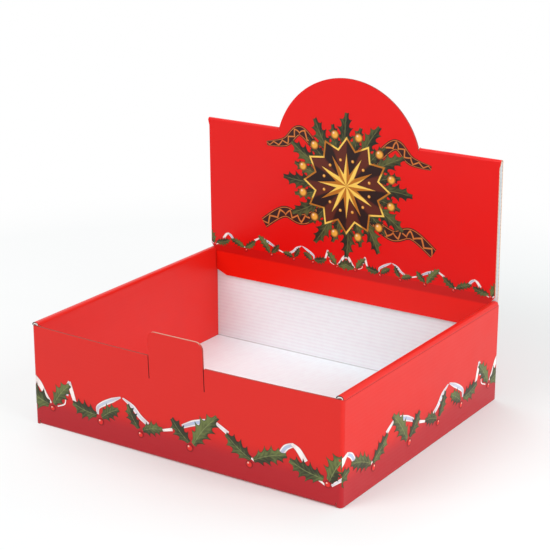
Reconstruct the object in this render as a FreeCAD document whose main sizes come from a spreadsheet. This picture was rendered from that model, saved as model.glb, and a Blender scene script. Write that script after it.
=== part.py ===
import FreeCAD, Part
import math
import os
import Sketcher

# Counter display stand folded from one die-cut sheet of fine-flute corrugated board.
# X runs along the width, Y from the front wall to the back wall, Z up.
# The origin is the centre of the tray's underside, on the surface that it stands on.

doc = FreeCAD.newDocument("DisplayStand")

# Every length is in millimetres and every angle in degrees.
SIZES = (
    ("tray_width", 300.0, "outside width of the tray across its side walls"),
    ("tray_depth", 260.0, "outside depth of the tray, front face to back face"),
    ("wall_height", 87.6, "top edge of the front wall and crease of the back wall"),
    ("board", 1.6, "thickness of the fine-flute corrugated sheet"),
    ("fold_radius", 1.0, "inside radius of a right-angle fold"),
    ("corner_radius", 1.5, "inside radius of the upright folds at the front corners"),
    ("ply_gap", 1.0, "air between the plies of a side wall"),
    ("roll_shoulder", 0.2, "upright step from the wall's top to the roll's first crease"),
    ("roll_setback", 0.8, "roll's front end behind the front wall's face"),
    ("back_setback", 0.8, "side wall's back edge ahead of the back wall's face"),
    ("foot_gap", 0.3, "side wall's cut lower edge above the surface"),
    ("front_bow", 4.0, "how far the middle of the front wall's top edge bows out"),
    ("tab_width", 52.6, "width of the lid tab on the front wall"),
    ("tab_rise", 21.0, "height of the lid tab above the front wall"),
    ("tab_corner", 6.5, "corner radius of the lid tab"),
    ("slit_depth", 19.5, "depth of the two slits beside the lid tab"),
    ("slit_width", 0.8, "width of those slits"),
    ("header_height", 127.8, "crease to top fold, half of the folded lid"),
    ("header_inset", 1.0, "header's side edge inside the tray's side face"),
    ("header_gap", 1.4, "air between the two layers of the header"),
    ("header_fold", 0.4, "inside radius of the two creases of the header's top fold"),
    ("header_lean", 0.94, "forward lean of the header in degrees"),
    ("layer_trim", 1.2, "front layer's side edge inside the back layer's"),
    ("trim_taper", 5.0, "height over which that trim runs out below the top fold"),
    ("heel_rise", 7.0, "height of the corner cut that clears the rolled side wall"),
    ("heel_lift", 0.4, "height above the crease where that cut meets the tuck flap"),
    ("arch_radius", 74.0, "radius of the arch above the header"),
    ("arch_drop", 21.3, "centre of the arch below the top fold"),
    ("tuck_depth", 22.8, "depth of the tuck flap below the crease"),
    ("tuck_clearance", 0.5, "air between the tuck flap and the side walls"),
    ("tuck_corner_run", 11.5, "length of the tuck flap's corner cut"),
    ("tuck_corner_rise", 4.8, "height of the tuck flap's corner cut"),
    ("dust_flap_length", 55.0, "reach of the back wall's dust flaps inside the side walls"),
    ("flap_clearance", 1.0, "hidden flaps' edges clear of the panels beside them"),
    ("lock_tab_length", 30.0, "length of a lock tab under an inner side wall"),
    ("lock_tab_spacing", 130.0, "distance between the two lock tabs of a wall"),
    ("slot_clearance", 0.3, "air round a lock tab in its slot"),
)

sheet = doc.addObject("Spreadsheet::Sheet", "Sizes")
for row, (alias, value, meaning) in enumerate(SIZES, start=1):
    sheet.set(f"A{row}", meaning)
    sheet.set(f"B{row}", str(value))
    sheet.setAlias(f"B{row}", alias)
doc.recompute()


class Size:
    """A length as its value and as the formula that keeps it bound to the sheet."""

    def __init__(self, value, formula):
        self.value = value
        self.formula = formula

    def __add__(self, other):
        other = as_size(other)
        return Size(self.value + other.value, f"({self.formula} + {other.formula})")

    def __sub__(self, other):
        other = as_size(other)
        return Size(self.value - other.value, f"({self.formula} - {other.formula})")

    def __mul__(self, other):
        other = as_size(other)
        return Size(self.value * other.value, f"({self.formula} * {other.formula})")

    def __truediv__(self, other):
        other = as_size(other)
        return Size(self.value / other.value, f"({self.formula} / {other.formula})")

    def __neg__(self):
        return Size(-self.value, f"(0 - {self.formula})")


def as_size(number):
    """Lets a plain number stand in a formula."""
    if isinstance(number, Size):
        return number
    return Size(float(number), str(float(number)))


def size(alias):
    """One named length of the sheet."""
    return Size(float(sheet.get(alias)), f"Sizes.{alias}")


def bind(item, path, length):
    """Ties one property of an object to its formula."""
    item.setExpression(path, length.formula)


# Lengths that follow from the sheet and place the panels against each other.
board = size("board")
half_width = size("tray_width") / 2
half_depth = size("tray_depth") / 2
wall_height = size("wall_height")
fold_inside = size("fold_radius")
fold_outside = fold_inside + board
corner_inside = size("corner_radius")
corner_outside = corner_inside + board
side_thickness = board * 3 + size("ply_gap") * 2
inner_face = half_width - side_thickness
flap_face = half_width - board - size("ply_gap")
flap_bend = flap_face - fold_outside
panel_end = half_width - corner_outside - board
fold_top = fold_outside + board
roll_top = wall_height + fold_outside + size("roll_shoulder")
roll_front = -half_depth + size("roll_setback")
side_back = half_depth - size("back_setback")


def sketch_on(owner, name, role, offset=None):
    """Adds a sketch on one of the body's own origin planes, moved along its normal."""
    planes = owner.Origin.OriginFeatures
    plane = [item for item in planes if item.Role == role][0]
    drawing = owner.newObject("Sketcher::SketchObject", name)
    drawing.AttachmentSupport = [(plane, "")]
    drawing.MapMode = "FlatFace"
    if offset is not None:
        drawing.AttachmentOffset = FreeCAD.Placement(
            FreeCAD.Vector(0, 0, offset.value), FreeCAD.Rotation())
        bind(drawing, "AttachmentOffset.Base.z", offset)
    return drawing


def constrain(drawing, label, length, *where):
    """Adds one named dimension to a sketch and ties it to its formula."""
    kind = where[0]
    index = drawing.addConstraint(Sketcher.Constraint(kind, *where[1:], length.value))
    name = f"{label}_{index}"
    drawing.renameConstraint(index, name)
    bind(drawing, f"Constraints.{name}", length)


def pin(drawing, label, axis, position, line, end):
    """Pins one end of a line by its distance from the sketch's origin along one axis."""
    if isinstance(position, Size):
        kind = {"u": "DistanceX", "v": "DistanceY"}[axis]
        constrain(drawing, label, position, kind, -1, 1, line, end)
    else:
        on_axis = {"u": -2, "v": -1}[axis]
        drawing.addConstraint(Sketcher.Constraint("PointOnObject", line, end, on_axis))


def outline(drawing, sides, rounds=None):
    """Draws a closed outline of upright and level sides, taken in order.

    A side is ("u", position) if it stands upright and ("v", position) if it lies level,
    and a position of 0 lies on the axis. rounds gives the radius of the corner after the
    side of that number.
    """
    rounds = rounds or {}
    count = len(sides)
    values = [as_size(position).value for axis, position in sides]

    corners = []
    for index in range(count):
        after = (index + 1) % count
        upright = index if sides[index][0] == "u" else after
        level = after if upright == index else index
        corners.append(FreeCAD.Vector(values[upright], values[level], 0))

    headings = []
    for index in range(count):
        run = corners[index] - corners[index - 1]
        headings.append(run.normalize())

    for index in range(count):
        lead_in = rounds[(index - 1) % count].value if (index - 1) % count in rounds else 0.0
        lead_out = rounds[index].value if index in rounds else 0.0
        start = corners[index - 1] + headings[index] * lead_in
        finish = corners[index] - headings[index] * lead_out
        drawing.addGeometry(Part.LineSegment(start, finish), False)

    for index, (axis, position) in enumerate(sides):
        upright = axis == "u"
        drawing.addConstraint(Sketcher.Constraint("Vertical" if upright else "Horizontal", index))
        pin(drawing, "side", axis, position, index, 1)

    for index in range(count):
        after = (index + 1) % count
        if index not in rounds:
            drawing.addConstraint(Sketcher.Constraint("Coincident", index, 2, after, 1))
            continue
        radius = rounds[index]
        turn = headings[index].cross(headings[after]).z
        centre = corners[index] + (headings[after] - headings[index]) * radius.value
        first = headings[after] * -1 if turn > 0 else headings[index]
        begin = math.atan2(first.y, first.x)
        circle = Part.Circle(centre, FreeCAD.Vector(0, 0, 1), radius.value)
        arc = drawing.addGeometry(Part.ArcOfCircle(circle, begin, begin + math.pi / 2), False)
        entry, leave = (1, 2) if turn > 0 else (2, 1)
        drawing.addConstraint(Sketcher.Constraint("Tangent", index, 2, arc, entry))
        drawing.addConstraint(Sketcher.Constraint("Tangent", arc, leave, after, 1))
        constrain(drawing, "round", radius, "Radius", arc)


def polygon(drawing, points):
    """Draws a closed outline of straight sides with every point pinned both ways."""
    corners = [FreeCAD.Vector(as_size(u).value, as_size(v).value, 0) for u, v in points]
    for index, corner in enumerate(corners):
        following = corners[(index + 1) % len(corners)]
        drawing.addGeometry(Part.LineSegment(corner, following), False)
    for index, (u, v) in enumerate(points):
        after = (index + 1) % len(points)
        drawing.addConstraint(Sketcher.Constraint("Coincident", index, 2, after, 1))
        pin(drawing, "point", "u", u, index, 1)
        pin(drawing, "point", "v", v, index, 1)


def disc(drawing, height, radius):
    """Draws one circle centred on the sketch's upright axis."""
    centre = FreeCAD.Vector(0, height.value, 0)
    circle = Part.Circle(centre, FreeCAD.Vector(0, 0, 1), radius.value)
    ring = drawing.addGeometry(circle, False)
    drawing.addConstraint(Sketcher.Constraint("PointOnObject", ring, 3, -2))
    constrain(drawing, "height", height, "DistanceY", -1, 1, ring, 3)
    constrain(drawing, "radius", radius, "Radius", ring)


def pad(owner, name, profile, length, symmetric=False):
    """Gives a sketch its length as a pad, from its plane or to both sides of it."""
    feature = owner.newObject("PartDesign::Pad", name)
    feature.Profile = profile
    feature.SideType = "Symmetric" if symmetric else "One side"
    feature.Length = length.value
    bind(feature, "Length", length)
    return feature


def cut_through(owner, name, profile, side, reverse=False):
    """Cuts a sketch through the body, to one side of its plane or to both."""
    feature = owner.newObject("PartDesign::Pocket", name)
    feature.Profile = profile
    feature.Type = "ThroughAll"
    feature.SideType = side
    feature.Reversed = reverse
    return feature


def box(owner, kind, name, lengths, place):
    """Adds or takes away a box, given its three lengths and its lowest corner."""
    feature = owner.newObject(kind, name)
    for path, length in zip(("Length", "Width", "Height"), lengths):
        bind(feature, path, length)
    for path, length in zip("xyz", place):
        bind(feature, f"Placement.Base.{path}", length)
    return feature


def mirror_across_middle(owner, name, originals):
    """Repeats features on the other side of the tray's middle plane."""
    planes = owner.Origin.OriginFeatures
    plane = [item for item in planes if item.Role == "YZ_Plane"][0]
    feature = owner.newObject("PartDesign::Mirrored", name)
    feature.Originals = originals
    feature.MirrorPlane = (plane, [""])
    owner.Tip = feature
    return feature


def lock_tab_places():
    """Front end of each lock tab along the side wall."""
    half_step = size("lock_tab_spacing") / 2
    half_tab = size("lock_tab_length") / 2
    return [-half_step - half_tab, half_step - half_tab]


# Floor, back wall and their hidden flaps

def make_floor():
    floor = doc.addObject("PartDesign::Body", "Floor")

    # Side view: floor panel, back fold, back wall up to the header's crease.
    section = sketch_on(floor, "FloorSection", "YZ_Plane")
    outline(
        section,
        [
            ("v", 0),
            ("u", half_depth),
            ("v", wall_height),
            ("u", half_depth - board),
            ("v", board),
            ("u", -half_depth + fold_outside),
        ],
        {0: fold_outside, 3: fold_inside})
    pad(floor, "FloorAndBack", section, flap_bend * 2, symmetric=True)

    # The fold along the front wall's foot reaches as far as the front wall does.
    foot = sketch_on(floor, "FrontFoldSection", "YZ_Plane")
    outline(
        foot,
        [
            ("u", -half_depth),
            ("v", 0),
            ("u", -half_depth + fold_outside + board),
            ("v", board),
            ("u", -half_depth + board),
            ("v", fold_top),
        ],
        {0: fold_outside, 3: fold_inside})
    pad(floor, "FrontFold", foot, panel_end * 2, symmetric=True)

    # The floor's side flaps stand between the plies of the side walls.
    flap_back = half_depth - size("dust_flap_length") - size("flap_clearance")
    flap_front = -half_depth + fold_top + size("flap_clearance")
    side_flap = sketch_on(floor, "SideFlapSection", "XZ_Plane", -flap_back)
    outline(
        side_flap,
        [
            ("v", 0),
            ("u", flap_face),
            ("v", wall_height - size("flap_clearance")),
            ("u", flap_face - board),
            ("v", board),
            ("u", flap_bend - board),
        ],
        {0: fold_outside, 3: fold_inside})
    side_pad = pad(floor, "SideFlap", side_flap, flap_back - flap_front)

    # The back wall's dust flaps fold forward into the same space.
    dust_flap = sketch_on(floor, "DustFlapSection", "XY_Plane", fold_top)
    outline(
        dust_flap,
        [
            ("v", half_depth),
            ("u", flap_face),
            ("v", half_depth - size("dust_flap_length")),
            ("u", flap_face - board),
            ("v", half_depth - board),
            ("u", flap_bend - board),
        ],
        {0: fold_outside, 3: fold_inside})
    dust_pad = pad(floor, "DustFlap", dust_flap, wall_height - size("flap_clearance") - fold_top)

    mirror_across_middle(floor, "OtherFlaps", [side_pad, dust_pad])

    # Slots that the inner side walls lock into.
    gap = size("slot_clearance")
    for front in lock_tab_places():
        for place in (inner_face - gap, -inner_face - board - gap):
            box(
                floor, "PartDesign::SubtractiveBox", "LockSlot",
                (board + gap * 2, size("lock_tab_length") + gap * 2, board * 2),
                (place, front - gap, -board / 2))
    return floor


# Front wall with its lid tab

def make_front():
    front = doc.addObject("PartDesign::Body", "Front")
    slab_top = wall_height + size("tab_rise") + board
    bow = size("front_bow") * (slab_top - fold_top) / (wall_height - fold_top)

    # The wall is straight along its foot and bows out evenly towards its top.
    foot = sketch_on(front, "FrontFoot", "XY_Plane", fold_top)
    outline(
        foot,
        [
            ("v", -half_depth),
            ("u", panel_end),
            ("v", -half_depth + board),
            ("u", -panel_end),
        ])

    top = sketch_on(front, "FrontTop", "XY_Plane", slab_top)
    radius = (panel_end * panel_end + bow * bow) / (bow * 2)
    faces = (-half_depth, -half_depth + board)
    arcs = []
    for face in faces:
        centre = FreeCAD.Vector(0, face.value - bow.value + radius.value, 0)
        half_angle = math.asin(panel_end.value / radius.value)
        circle = Part.Circle(centre, FreeCAD.Vector(0, 0, 1), radius.value)
        middle = -math.pi / 2
        arcs.append(top.addGeometry(
            Part.ArcOfCircle(circle, middle - half_angle, middle + half_angle), False))
    for arc, face in zip(arcs, faces):
        constrain(top, "bow", radius, "Radius", arc)
        for end, reach in ((1, -panel_end), (2, panel_end)):
            pin(top, "end", "u", reach, arc, end)
            pin(top, "end", "v", face, arc, end)
    for end, reach in ((1, -panel_end), (2, panel_end)):
        low = FreeCAD.Vector(reach.value, faces[0].value, 0)
        high = FreeCAD.Vector(reach.value, faces[1].value, 0)
        line = top.addGeometry(Part.LineSegment(low, high), False)
        top.addConstraint(Sketcher.Constraint("Coincident", line, 1, arcs[0], end))
        top.addConstraint(Sketcher.Constraint("Coincident", line, 2, arcs[1], end))

    wall = front.newObject("PartDesign::AdditiveLoft", "BowedWall")
    wall.Profile = foot
    wall.Sections = [top]
    wall.Ruled = True

    # The die cuts away what is above the wall, beside the tab and in its two slits.
    half_tab = size("tab_width") / 2
    slit_side = half_tab + size("slit_width")
    slit_foot = wall_height - size("slit_depth")
    tab_top = wall_height + size("tab_rise")
    waste = sketch_on(front, "FrontWaste", "XZ_Plane")
    outline(
        waste,
        [
            ("u", -half_width),
            ("v", wall_height),
            ("u", -slit_side),
            ("v", slit_foot),
            ("u", -half_tab),
            ("v", tab_top),
            ("u", half_tab),
            ("v", slit_foot),
            ("u", slit_side),
            ("v", wall_height),
            ("u", half_width),
            ("v", slab_top + board),
        ],
        {4: size("tab_corner"), 5: size("tab_corner")})
    cut_through(front, "TabAndSlits", waste, "Symmetric")
    return front


# One side wall: outer ply, rolled top, inner ply and its lock tabs

def make_side():
    side = doc.addObject("PartDesign::Body", "Side")

    # Plan view: the upright fold at the front corner and the outer ply.
    plan = sketch_on(side, "OuterPlyPlan", "XY_Plane", size("foot_gap"))
    outline(
        plan,
        [
            ("v", -half_depth),
            ("u", half_width),
            ("v", side_back),
            ("u", half_width - board),
            ("v", -half_depth + board),
            ("u", panel_end),
        ],
        {0: corner_outside, 3: corner_inside})
    pad(side, "OuterPly", plan, wall_height - size("foot_gap"))

    # Front view: the roll over the top and the inner ply down to the floor.
    roll = sketch_on(side, "RollSection", "XZ_Plane", -side_back)
    outline(
        roll,
        [
            ("u", half_width),
            ("v", roll_top),
            ("u", inner_face),
            ("v", board + size("slot_clearance")),
            ("u", inner_face + board),
            ("v", roll_top - board),
            ("u", half_width - board),
            ("v", wall_height),
        ],
        {0: fold_outside, 1: fold_outside, 4: fold_inside, 5: fold_inside})
    pad(side, "RollAndInnerPly", roll, side_back - roll_front)

    for number, front in enumerate(lock_tab_places(), start=1):
        box(
            side, "PartDesign::AdditiveBox", f"LockTab{number}",
            (board, size("lock_tab_length"), board + size("slot_clearance")),
            (inner_face, front, size("slot_clearance")))
    return side


# Header: the lid folded back and in half, with its arch and its tuck flap

def make_header():
    header = doc.addObject("PartDesign::Body", "Header")
    half_header = half_width - size("header_inset")
    top = size("header_height")
    back_face = board + size("header_gap")
    front_face = back_face + board
    fold_out = size("header_fold") + board
    tuck_foot = -size("tuck_depth")

    # Side view, with the crease on the back wall's outer face as its origin.
    section = sketch_on(header, "HeaderSection", "YZ_Plane")
    outline(
        section,
        [
            ("u", 0),
            ("v", top),
            ("u", -front_face),
            ("v", tuck_foot),
            ("u", -back_face),
            ("v", top - board),
            ("u", -board),
            ("v", 0),
        ],
        {0: fold_out, 1: fold_out, 4: size("header_fold"), 5: size("header_fold")})
    pad(header, "HeaderLayers", section, half_header * 2, symmetric=True)

    # The front layer is trimmed at its sides, cut in at the heel and narrow at the flap.
    layer_side = half_header - size("layer_trim")
    tuck_side = inner_face - size("tuck_clearance")
    outside = half_width + board
    below = tuck_foot - board
    trim = sketch_on(header, "LayerTrim", "XZ_Plane", back_face)
    right = [
        (outside, top - fold_out),
        (half_header, top - fold_out),
        (layer_side, top - fold_out - size("trim_taper")),
        (layer_side, size("heel_rise")),
        (tuck_side, size("heel_lift")),
        (tuck_side, tuck_foot + size("tuck_corner_rise")),
        (tuck_side - size("tuck_corner_run"), tuck_foot),
        (tuck_side - size("tuck_corner_run"), below),
        (outside, below),
    ]
    polygon(trim, right)
    trimmed = cut_through(header, "TrimRight", trim, "One side", reverse=True)
    mirror_across_middle(header, "TrimBoth", [trimmed])

    # The arch is cut out of the back layer and stands up with the front layer.
    hole = sketch_on(header, "ArchHole", "XZ_Plane", back_face)
    disc(hole, top + size("arch_drop"), size("arch_radius"))
    cut_through(header, "BackLayerHole", hole, "One side")
    arch = sketch_on(header, "ArchDisc", "XZ_Plane", back_face)
    disc(arch, top - size("arch_drop"), size("arch_radius"))
    pad(header, "Arch", arch, board)

    header.Placement = FreeCAD.Placement(
        FreeCAD.Vector(0, half_depth.value, wall_height.value),
        FreeCAD.Rotation(FreeCAD.Vector(1, 0, 0), size("header_lean").value))
    bind(header, "Placement.Base.y", half_depth)
    bind(header, "Placement.Base.z", wall_height)
    bind(header, "Placement.Rotation.Angle", size("header_lean"))
    return header


right_side = make_side()
left_side = doc.addObject("Part::Mirroring", "OppositeSide")
left_side.Source = right_side
left_side.Normal = FreeCAD.Vector(1, 0, 0)

stand = doc.addObject("Part::MultiFuse", "Stand")
stand.Label = "display_stand"
stand.Shapes = [make_floor(), make_front(), right_side, left_side, make_header()]
stand.Refine = True

doc.recompute()

for item in doc.Objects:
    if "Invalid" in item.State or "Error" in item.State:
        raise RuntimeError(f"{item.Name} did not build: {item.State}")
if stand.Shape.isNull() or not stand.Shape.isValid():
    raise RuntimeError(f"{stand.Label} has no valid shape")
if len(stand.Shape.Solids) != 1:
    raise RuntimeError(f"{stand.Label} is {len(stand.Shape.Solids)} solids and not one sheet")

os.makedirs("parts", exist_ok=True)
stand.Shape.exportStep(f"parts/{stand.Label}.step")
bounds = stand.Shape.BoundBox
print(f"{stand.Label}: {bounds.XLength:.2f} x {bounds.YLength:.2f} x {bounds.ZLength:.2f} mm,",
      f"{stand.Shape.Volume / 1000:.1f} cm3")
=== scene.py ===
"""Counter display stand folded from one printed sheet of fine-flute board.

The sheet is drawn flat, as the die cuts it, then folded up crease by crease, rounded at its
creases and given its thickness. The print lies on it as thin layers of ink.
"""

import logging
import math
from contextlib import contextmanager
from dataclasses import dataclass
from enum import Enum
from typing import Callable, Iterator

import bmesh
import bpy
from mathutils import Matrix, Vector


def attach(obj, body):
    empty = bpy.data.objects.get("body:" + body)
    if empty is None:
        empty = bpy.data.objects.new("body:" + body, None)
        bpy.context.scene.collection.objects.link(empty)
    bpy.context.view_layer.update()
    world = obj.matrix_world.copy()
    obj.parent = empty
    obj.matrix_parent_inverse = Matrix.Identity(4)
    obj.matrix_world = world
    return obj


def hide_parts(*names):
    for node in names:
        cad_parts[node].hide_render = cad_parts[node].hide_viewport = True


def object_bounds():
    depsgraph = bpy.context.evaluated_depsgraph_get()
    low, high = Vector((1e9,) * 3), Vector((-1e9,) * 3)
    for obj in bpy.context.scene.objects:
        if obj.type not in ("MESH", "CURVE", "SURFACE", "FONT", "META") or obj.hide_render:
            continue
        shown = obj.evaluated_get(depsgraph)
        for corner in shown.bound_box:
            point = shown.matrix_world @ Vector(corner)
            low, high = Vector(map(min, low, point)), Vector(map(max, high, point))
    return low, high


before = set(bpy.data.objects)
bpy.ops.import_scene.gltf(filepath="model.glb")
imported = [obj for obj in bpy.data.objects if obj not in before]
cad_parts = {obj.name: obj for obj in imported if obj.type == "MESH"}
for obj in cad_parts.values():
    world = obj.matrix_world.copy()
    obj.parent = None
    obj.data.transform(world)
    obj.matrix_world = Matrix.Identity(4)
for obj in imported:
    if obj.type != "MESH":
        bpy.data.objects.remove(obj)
cad_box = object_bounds()

log = logging.getLogger("display_stand")

MM = 0.001
NODE = "display_stand"
QUARTER = math.pi / 2
TOUCH = 0.05 * MM
PRINT_ROUGHNESS = 0.36
PRINT_GLOSS = 0.27
ROUND_SIDES = 24

# How far each kind of motif lies above the board, in millimetres.
RIBBON_LIFT = 0.10
LEAF_LIFT = 0.19
BALL_LIFT = 0.28
BAUBLE_LIFT = 0.41

Place = tuple[float, float, float]
Point = tuple[float, float]
Colour = tuple[float, float, float, float]


@dataclass(frozen=True)
class Sizes:
    """Driving lengths of the folded sheet, in metres, with the CAD box as its outside."""

    half_width: float
    half_depth: float = 130.0 * MM
    wall: float = 87.6 * MM
    board: float = 1.6 * MM
    fold: float = 2.6 * MM
    corner: float = 3.1 * MM
    header_fold: float = 2.0 * MM
    side_thickness: float = 6.8 * MM
    roll_rise: float = 2.8 * MM
    roll_setback: float = 0.8 * MM
    back_setback: float = 0.8 * MM
    roll_back_gap: float = 1.2 * MM
    foot_gap: float = 0.3 * MM
    slab_half: float = 144.75 * MM
    flap_face: float = 147.4 * MM
    panel_end: float = 145.3 * MM
    fold_top: float = 4.2 * MM
    bow: float = 4.0 * MM
    tab_half: float = 26.3 * MM
    tab_rise: float = 21.0 * MM
    tab_corner: float = 6.5 * MM
    slit_depth: float = 19.5 * MM
    slit_width: float = 0.8 * MM
    flap_front: float = 5.2 * MM
    dust_flap: float = 55.0 * MM
    flap_clearance: float = 1.0 * MM
    header: float = 127.8 * MM
    header_half: float = 149.0 * MM
    header_gap: float = 4.6 * MM
    header_trim: float = 1.2 * MM
    header_lean: float = math.radians(0.94)
    heel_rise: float = 7.0 * MM
    heel_lift: float = 0.4 * MM
    arch_radius: float = 74.0 * MM
    arch_drop: float = 21.3 * MM
    tuck: float = 22.8 * MM
    tuck_half: float = 142.7 * MM
    tuck_run: float = 11.5 * MM
    tuck_rise: float = 4.8 * MM
    tab_half_length: float = 15.0 * MM
    tab_half_spacing: float = 65.0 * MM
    slot_clearance: float = 0.3 * MM
    flute: float = 3.42 * MM

    @property
    def ply_length(self) -> float:
        """Length of an outer side ply along the sheet."""
        return self.half_depth * 2 - self.back_setback

    @property
    def roll_top(self) -> float:
        """Height of a rolled side wall."""
        return self.wall + self.roll_rise

    @property
    def chord_half(self) -> float:
        """Half width of the arch where it leaves the header's top fold."""
        return math.sqrt(self.arch_radius ** 2 - self.arch_drop ** 2)

    def bow_at(self, across: float, height: float) -> float:
        """Tells how far the front wall stands out at a place.

        Args:
            across: Distance from the middle of the wall.
            height: Height above the surface that the tray stands on.

        Returns:
            The bow there, in metres.
        """
        rise = max(0.0, height - self.fold_top) / (self.wall - self.fold_top)
        return self.bow * rise * max(0.0, 1 - (across / self.panel_end) ** 2)

    def on_header(self, across: float, height: float, out: float) -> Place:
        """Gives a place on the leaning header.

        Args:
            across: Distance from the middle.
            height: Height above the tray's back wall, along the header.
            out: Distance from the header's back face, towards the front.

        Returns:
            The place in the part's frame.
        """
        lean = self.header_lean
        return (across, self.half_depth - height * math.sin(lean) - out * math.cos(lean),
                self.wall + height * math.cos(lean) - out * math.sin(lean))


class Part(Enum):
    """The elements of a mesh that a selection picks."""

    VERTS = "VERT"
    EDGES = "EDGE"
    FACES = "FACE"


class Face(Enum):
    """The board's three surfaces, by their material index."""

    PRINTED = 0
    WHITE = 1
    CUT = 2


class Wire:
    """One value on its way through a shader, with arithmetic on it."""

    def __init__(self, shader: "Nodes", socket: bpy.types.NodeSocket) -> None:
        """Wraps an output socket."""
        self.shader = shader
        self.socket = socket

    def math(self, kind: str, *others: "Wire | float") -> "Wire":
        """Runs one math step on this value.

        Args:
            kind: The math node's operation.
            others: Its second and third values.

        Returns:
            The step's result.
        """
        values = dict(enumerate((self, *others)))
        return self.shader.step("ShaderNodeMath", {"operation": kind}, values)

    def after(self, kind: str, first: float) -> "Wire":
        """Runs one math step with a number before this value."""
        return self.shader.step("ShaderNodeMath", {"operation": kind}, {0: first, 1: self})

    def __add__(self, other: "Wire | float") -> "Wire":
        """Adds."""
        return self.math("ADD", other)

    def __radd__(self, other: float) -> "Wire":
        """Adds to a number."""
        return self.after("ADD", other)

    def __sub__(self, other: "Wire | float") -> "Wire":
        """Takes away."""
        return self.math("SUBTRACT", other)

    def __rsub__(self, other: float) -> "Wire":
        """Takes away from a number."""
        return self.after("SUBTRACT", other)

    def __mul__(self, other: "Wire | float") -> "Wire":
        """Multiplies."""
        return self.math("MULTIPLY", other)

    def __rmul__(self, other: float) -> "Wire":
        """Multiplies a number."""
        return self.after("MULTIPLY", other)

    def sine(self) -> "Wire":
        """Takes the sine."""
        return self.math("SINE")

    def size(self) -> "Wire":
        """Drops the sign."""
        return self.math("ABSOLUTE")

    def most(self, other: "Wire | float") -> "Wire":
        """Takes the larger of two values."""
        return self.math("MAXIMUM", other)

    def ramp(self, low: float, high: float) -> "Wire":
        """Rises smoothly from 0 at one value to 1 at another, which may be the lower one.

        Args:
            low: The value that gives 0.
            high: The value that gives 1.

        Returns:
            The rise.
        """
        return self.shader.step(
            "ShaderNodeMapRange", {"interpolation_type": "SMOOTHSTEP"},
            {0: self, 1: low, 2: high, 3: 0.0, 4: 1.0})

    def blend(self, first: "Colour | Wire", second: "Colour | Wire") -> "Wire":
        """Mixes two colours by this value, where 0 gives the first.

        Args:
            first: The colour at 0.
            second: The colour at 1.

        Returns:
            The mixed colour.
        """
        return self.shader.step(
            "ShaderNodeMix", {"data_type": "RGBA"}, {0: self, 6: first, 7: second}, output=2)


class Nodes:
    """One node tree and the way to add to it."""

    def __init__(self, tree: bpy.types.NodeTree) -> None:
        """Takes the tree."""
        self.tree = tree

    def step(self, kind: str, settings: dict[str, object], values: dict[int, object],
             output: int = 0) -> Wire:
        """Adds one node, sets it, then fills its sockets.

        Args:
            kind: The node's type.
            settings: The node's own settings, by name.
            values: Numbers, colours or wires, by the socket's place.
            output: The place of the output to hand over.

        Returns:
            That output.
        """
        node = self.tree.nodes.new(kind)
        for name, value in settings.items():
            setattr(node, name, value)
        for place, value in values.items():
            if isinstance(value, Wire):
                self.tree.links.new(value.socket, node.inputs[place])
            else:
                node.inputs[place].default_value = value
        return Wire(self, node.outputs[output])

    def seen_white(self) -> Wire:
        """Gives 1 where the background is seen, straight or in a gloss, and 0 where it lights.

        Returns:
            That value.
        """
        camera = self.step("ShaderNodeLightPath", {}, {})
        outputs = camera.socket.node.outputs
        seen = camera.most(Wire(self, outputs["Is Glossy Ray"]))
        return seen.most(Wire(self, outputs["Is Transmission Ray"]))


class Shader(Nodes):
    """The node tree of one material."""

    def __init__(self, name: str, roughness: float, gloss: float = 0.5) -> None:
        """Starts a material with a Principled shader.

        Args:
            name: The material's name.
            roughness: How matt the surface is.
            gloss: How strongly it mirrors.
        """
        self.material = bpy.data.materials.new(name)
        self.material.use_nodes = True
        super().__init__(self.material.node_tree)
        self.surface = self.tree.nodes["Principled BSDF"]
        self.surface.inputs["Roughness"].default_value = roughness
        self.surface.inputs["Specular IOR Level"].default_value = gloss

    def split(self, vector: Wire) -> tuple[Wire, Wire, Wire]:
        """Gives the three parts of a vector.

        Args:
            vector: The vector.

        Returns:
            Its parts along x, y and z.
        """
        outputs = self.step("ShaderNodeSeparateXYZ", {}, {0: vector}).socket.node.outputs
        return Wire(self, outputs[0]), Wire(self, outputs[1]), Wire(self, outputs[2])

    def attribute(self, name: str, output: int = 1) -> Wire:
        """Reads a value that the mesh carries: 1 hands over a vector and 2 a number."""
        return self.step("ShaderNodeAttribute", {"attribute_name": name}, {}, output=output)

    def across_print(self) -> tuple[Wire, Wire]:
        """Gives the place on a motif: 0 to 1 along it, and -1 to 1 across it."""
        along, across, _ = self.split(self.step("ShaderNodeTexCoord", {}, {}, output=2))
        return along, across * 2.0 - 1.0

    def noise(self, scale: float, detail: float = 3.0) -> Wire:
        """Gives noise over the object's own space, around 0."""
        place = self.step("ShaderNodeTexCoord", {}, {}, output=3)
        return self.step("ShaderNodeTexNoise", {}, {0: place, 2: scale, 3: detail}) - 0.5

    def paint(self, colour: Wire) -> None:
        """Sends a colour to the surface."""
        self.tree.links.new(colour.socket, self.surface.inputs["Base Color"])

    def polish(self, roughness: Wire) -> None:
        """Sends a roughness to the surface."""
        self.tree.links.new(roughness.socket, self.surface.inputs["Roughness"])

    def emboss(self, height: Wire, depth: float) -> None:
        """Sends a height to the surface, with its depth in metres."""
        bump = self.step("ShaderNodeBump", {}, {0: 1.0, 1: depth, 3: height})
        self.tree.links.new(bump.socket, self.surface.inputs["Normal"])


def print_shader(name: str) -> Shader:
    """Starts the finish of a glossy print."""
    return Shader(name, PRINT_ROUGHNESS, PRINT_GLOSS)


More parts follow.
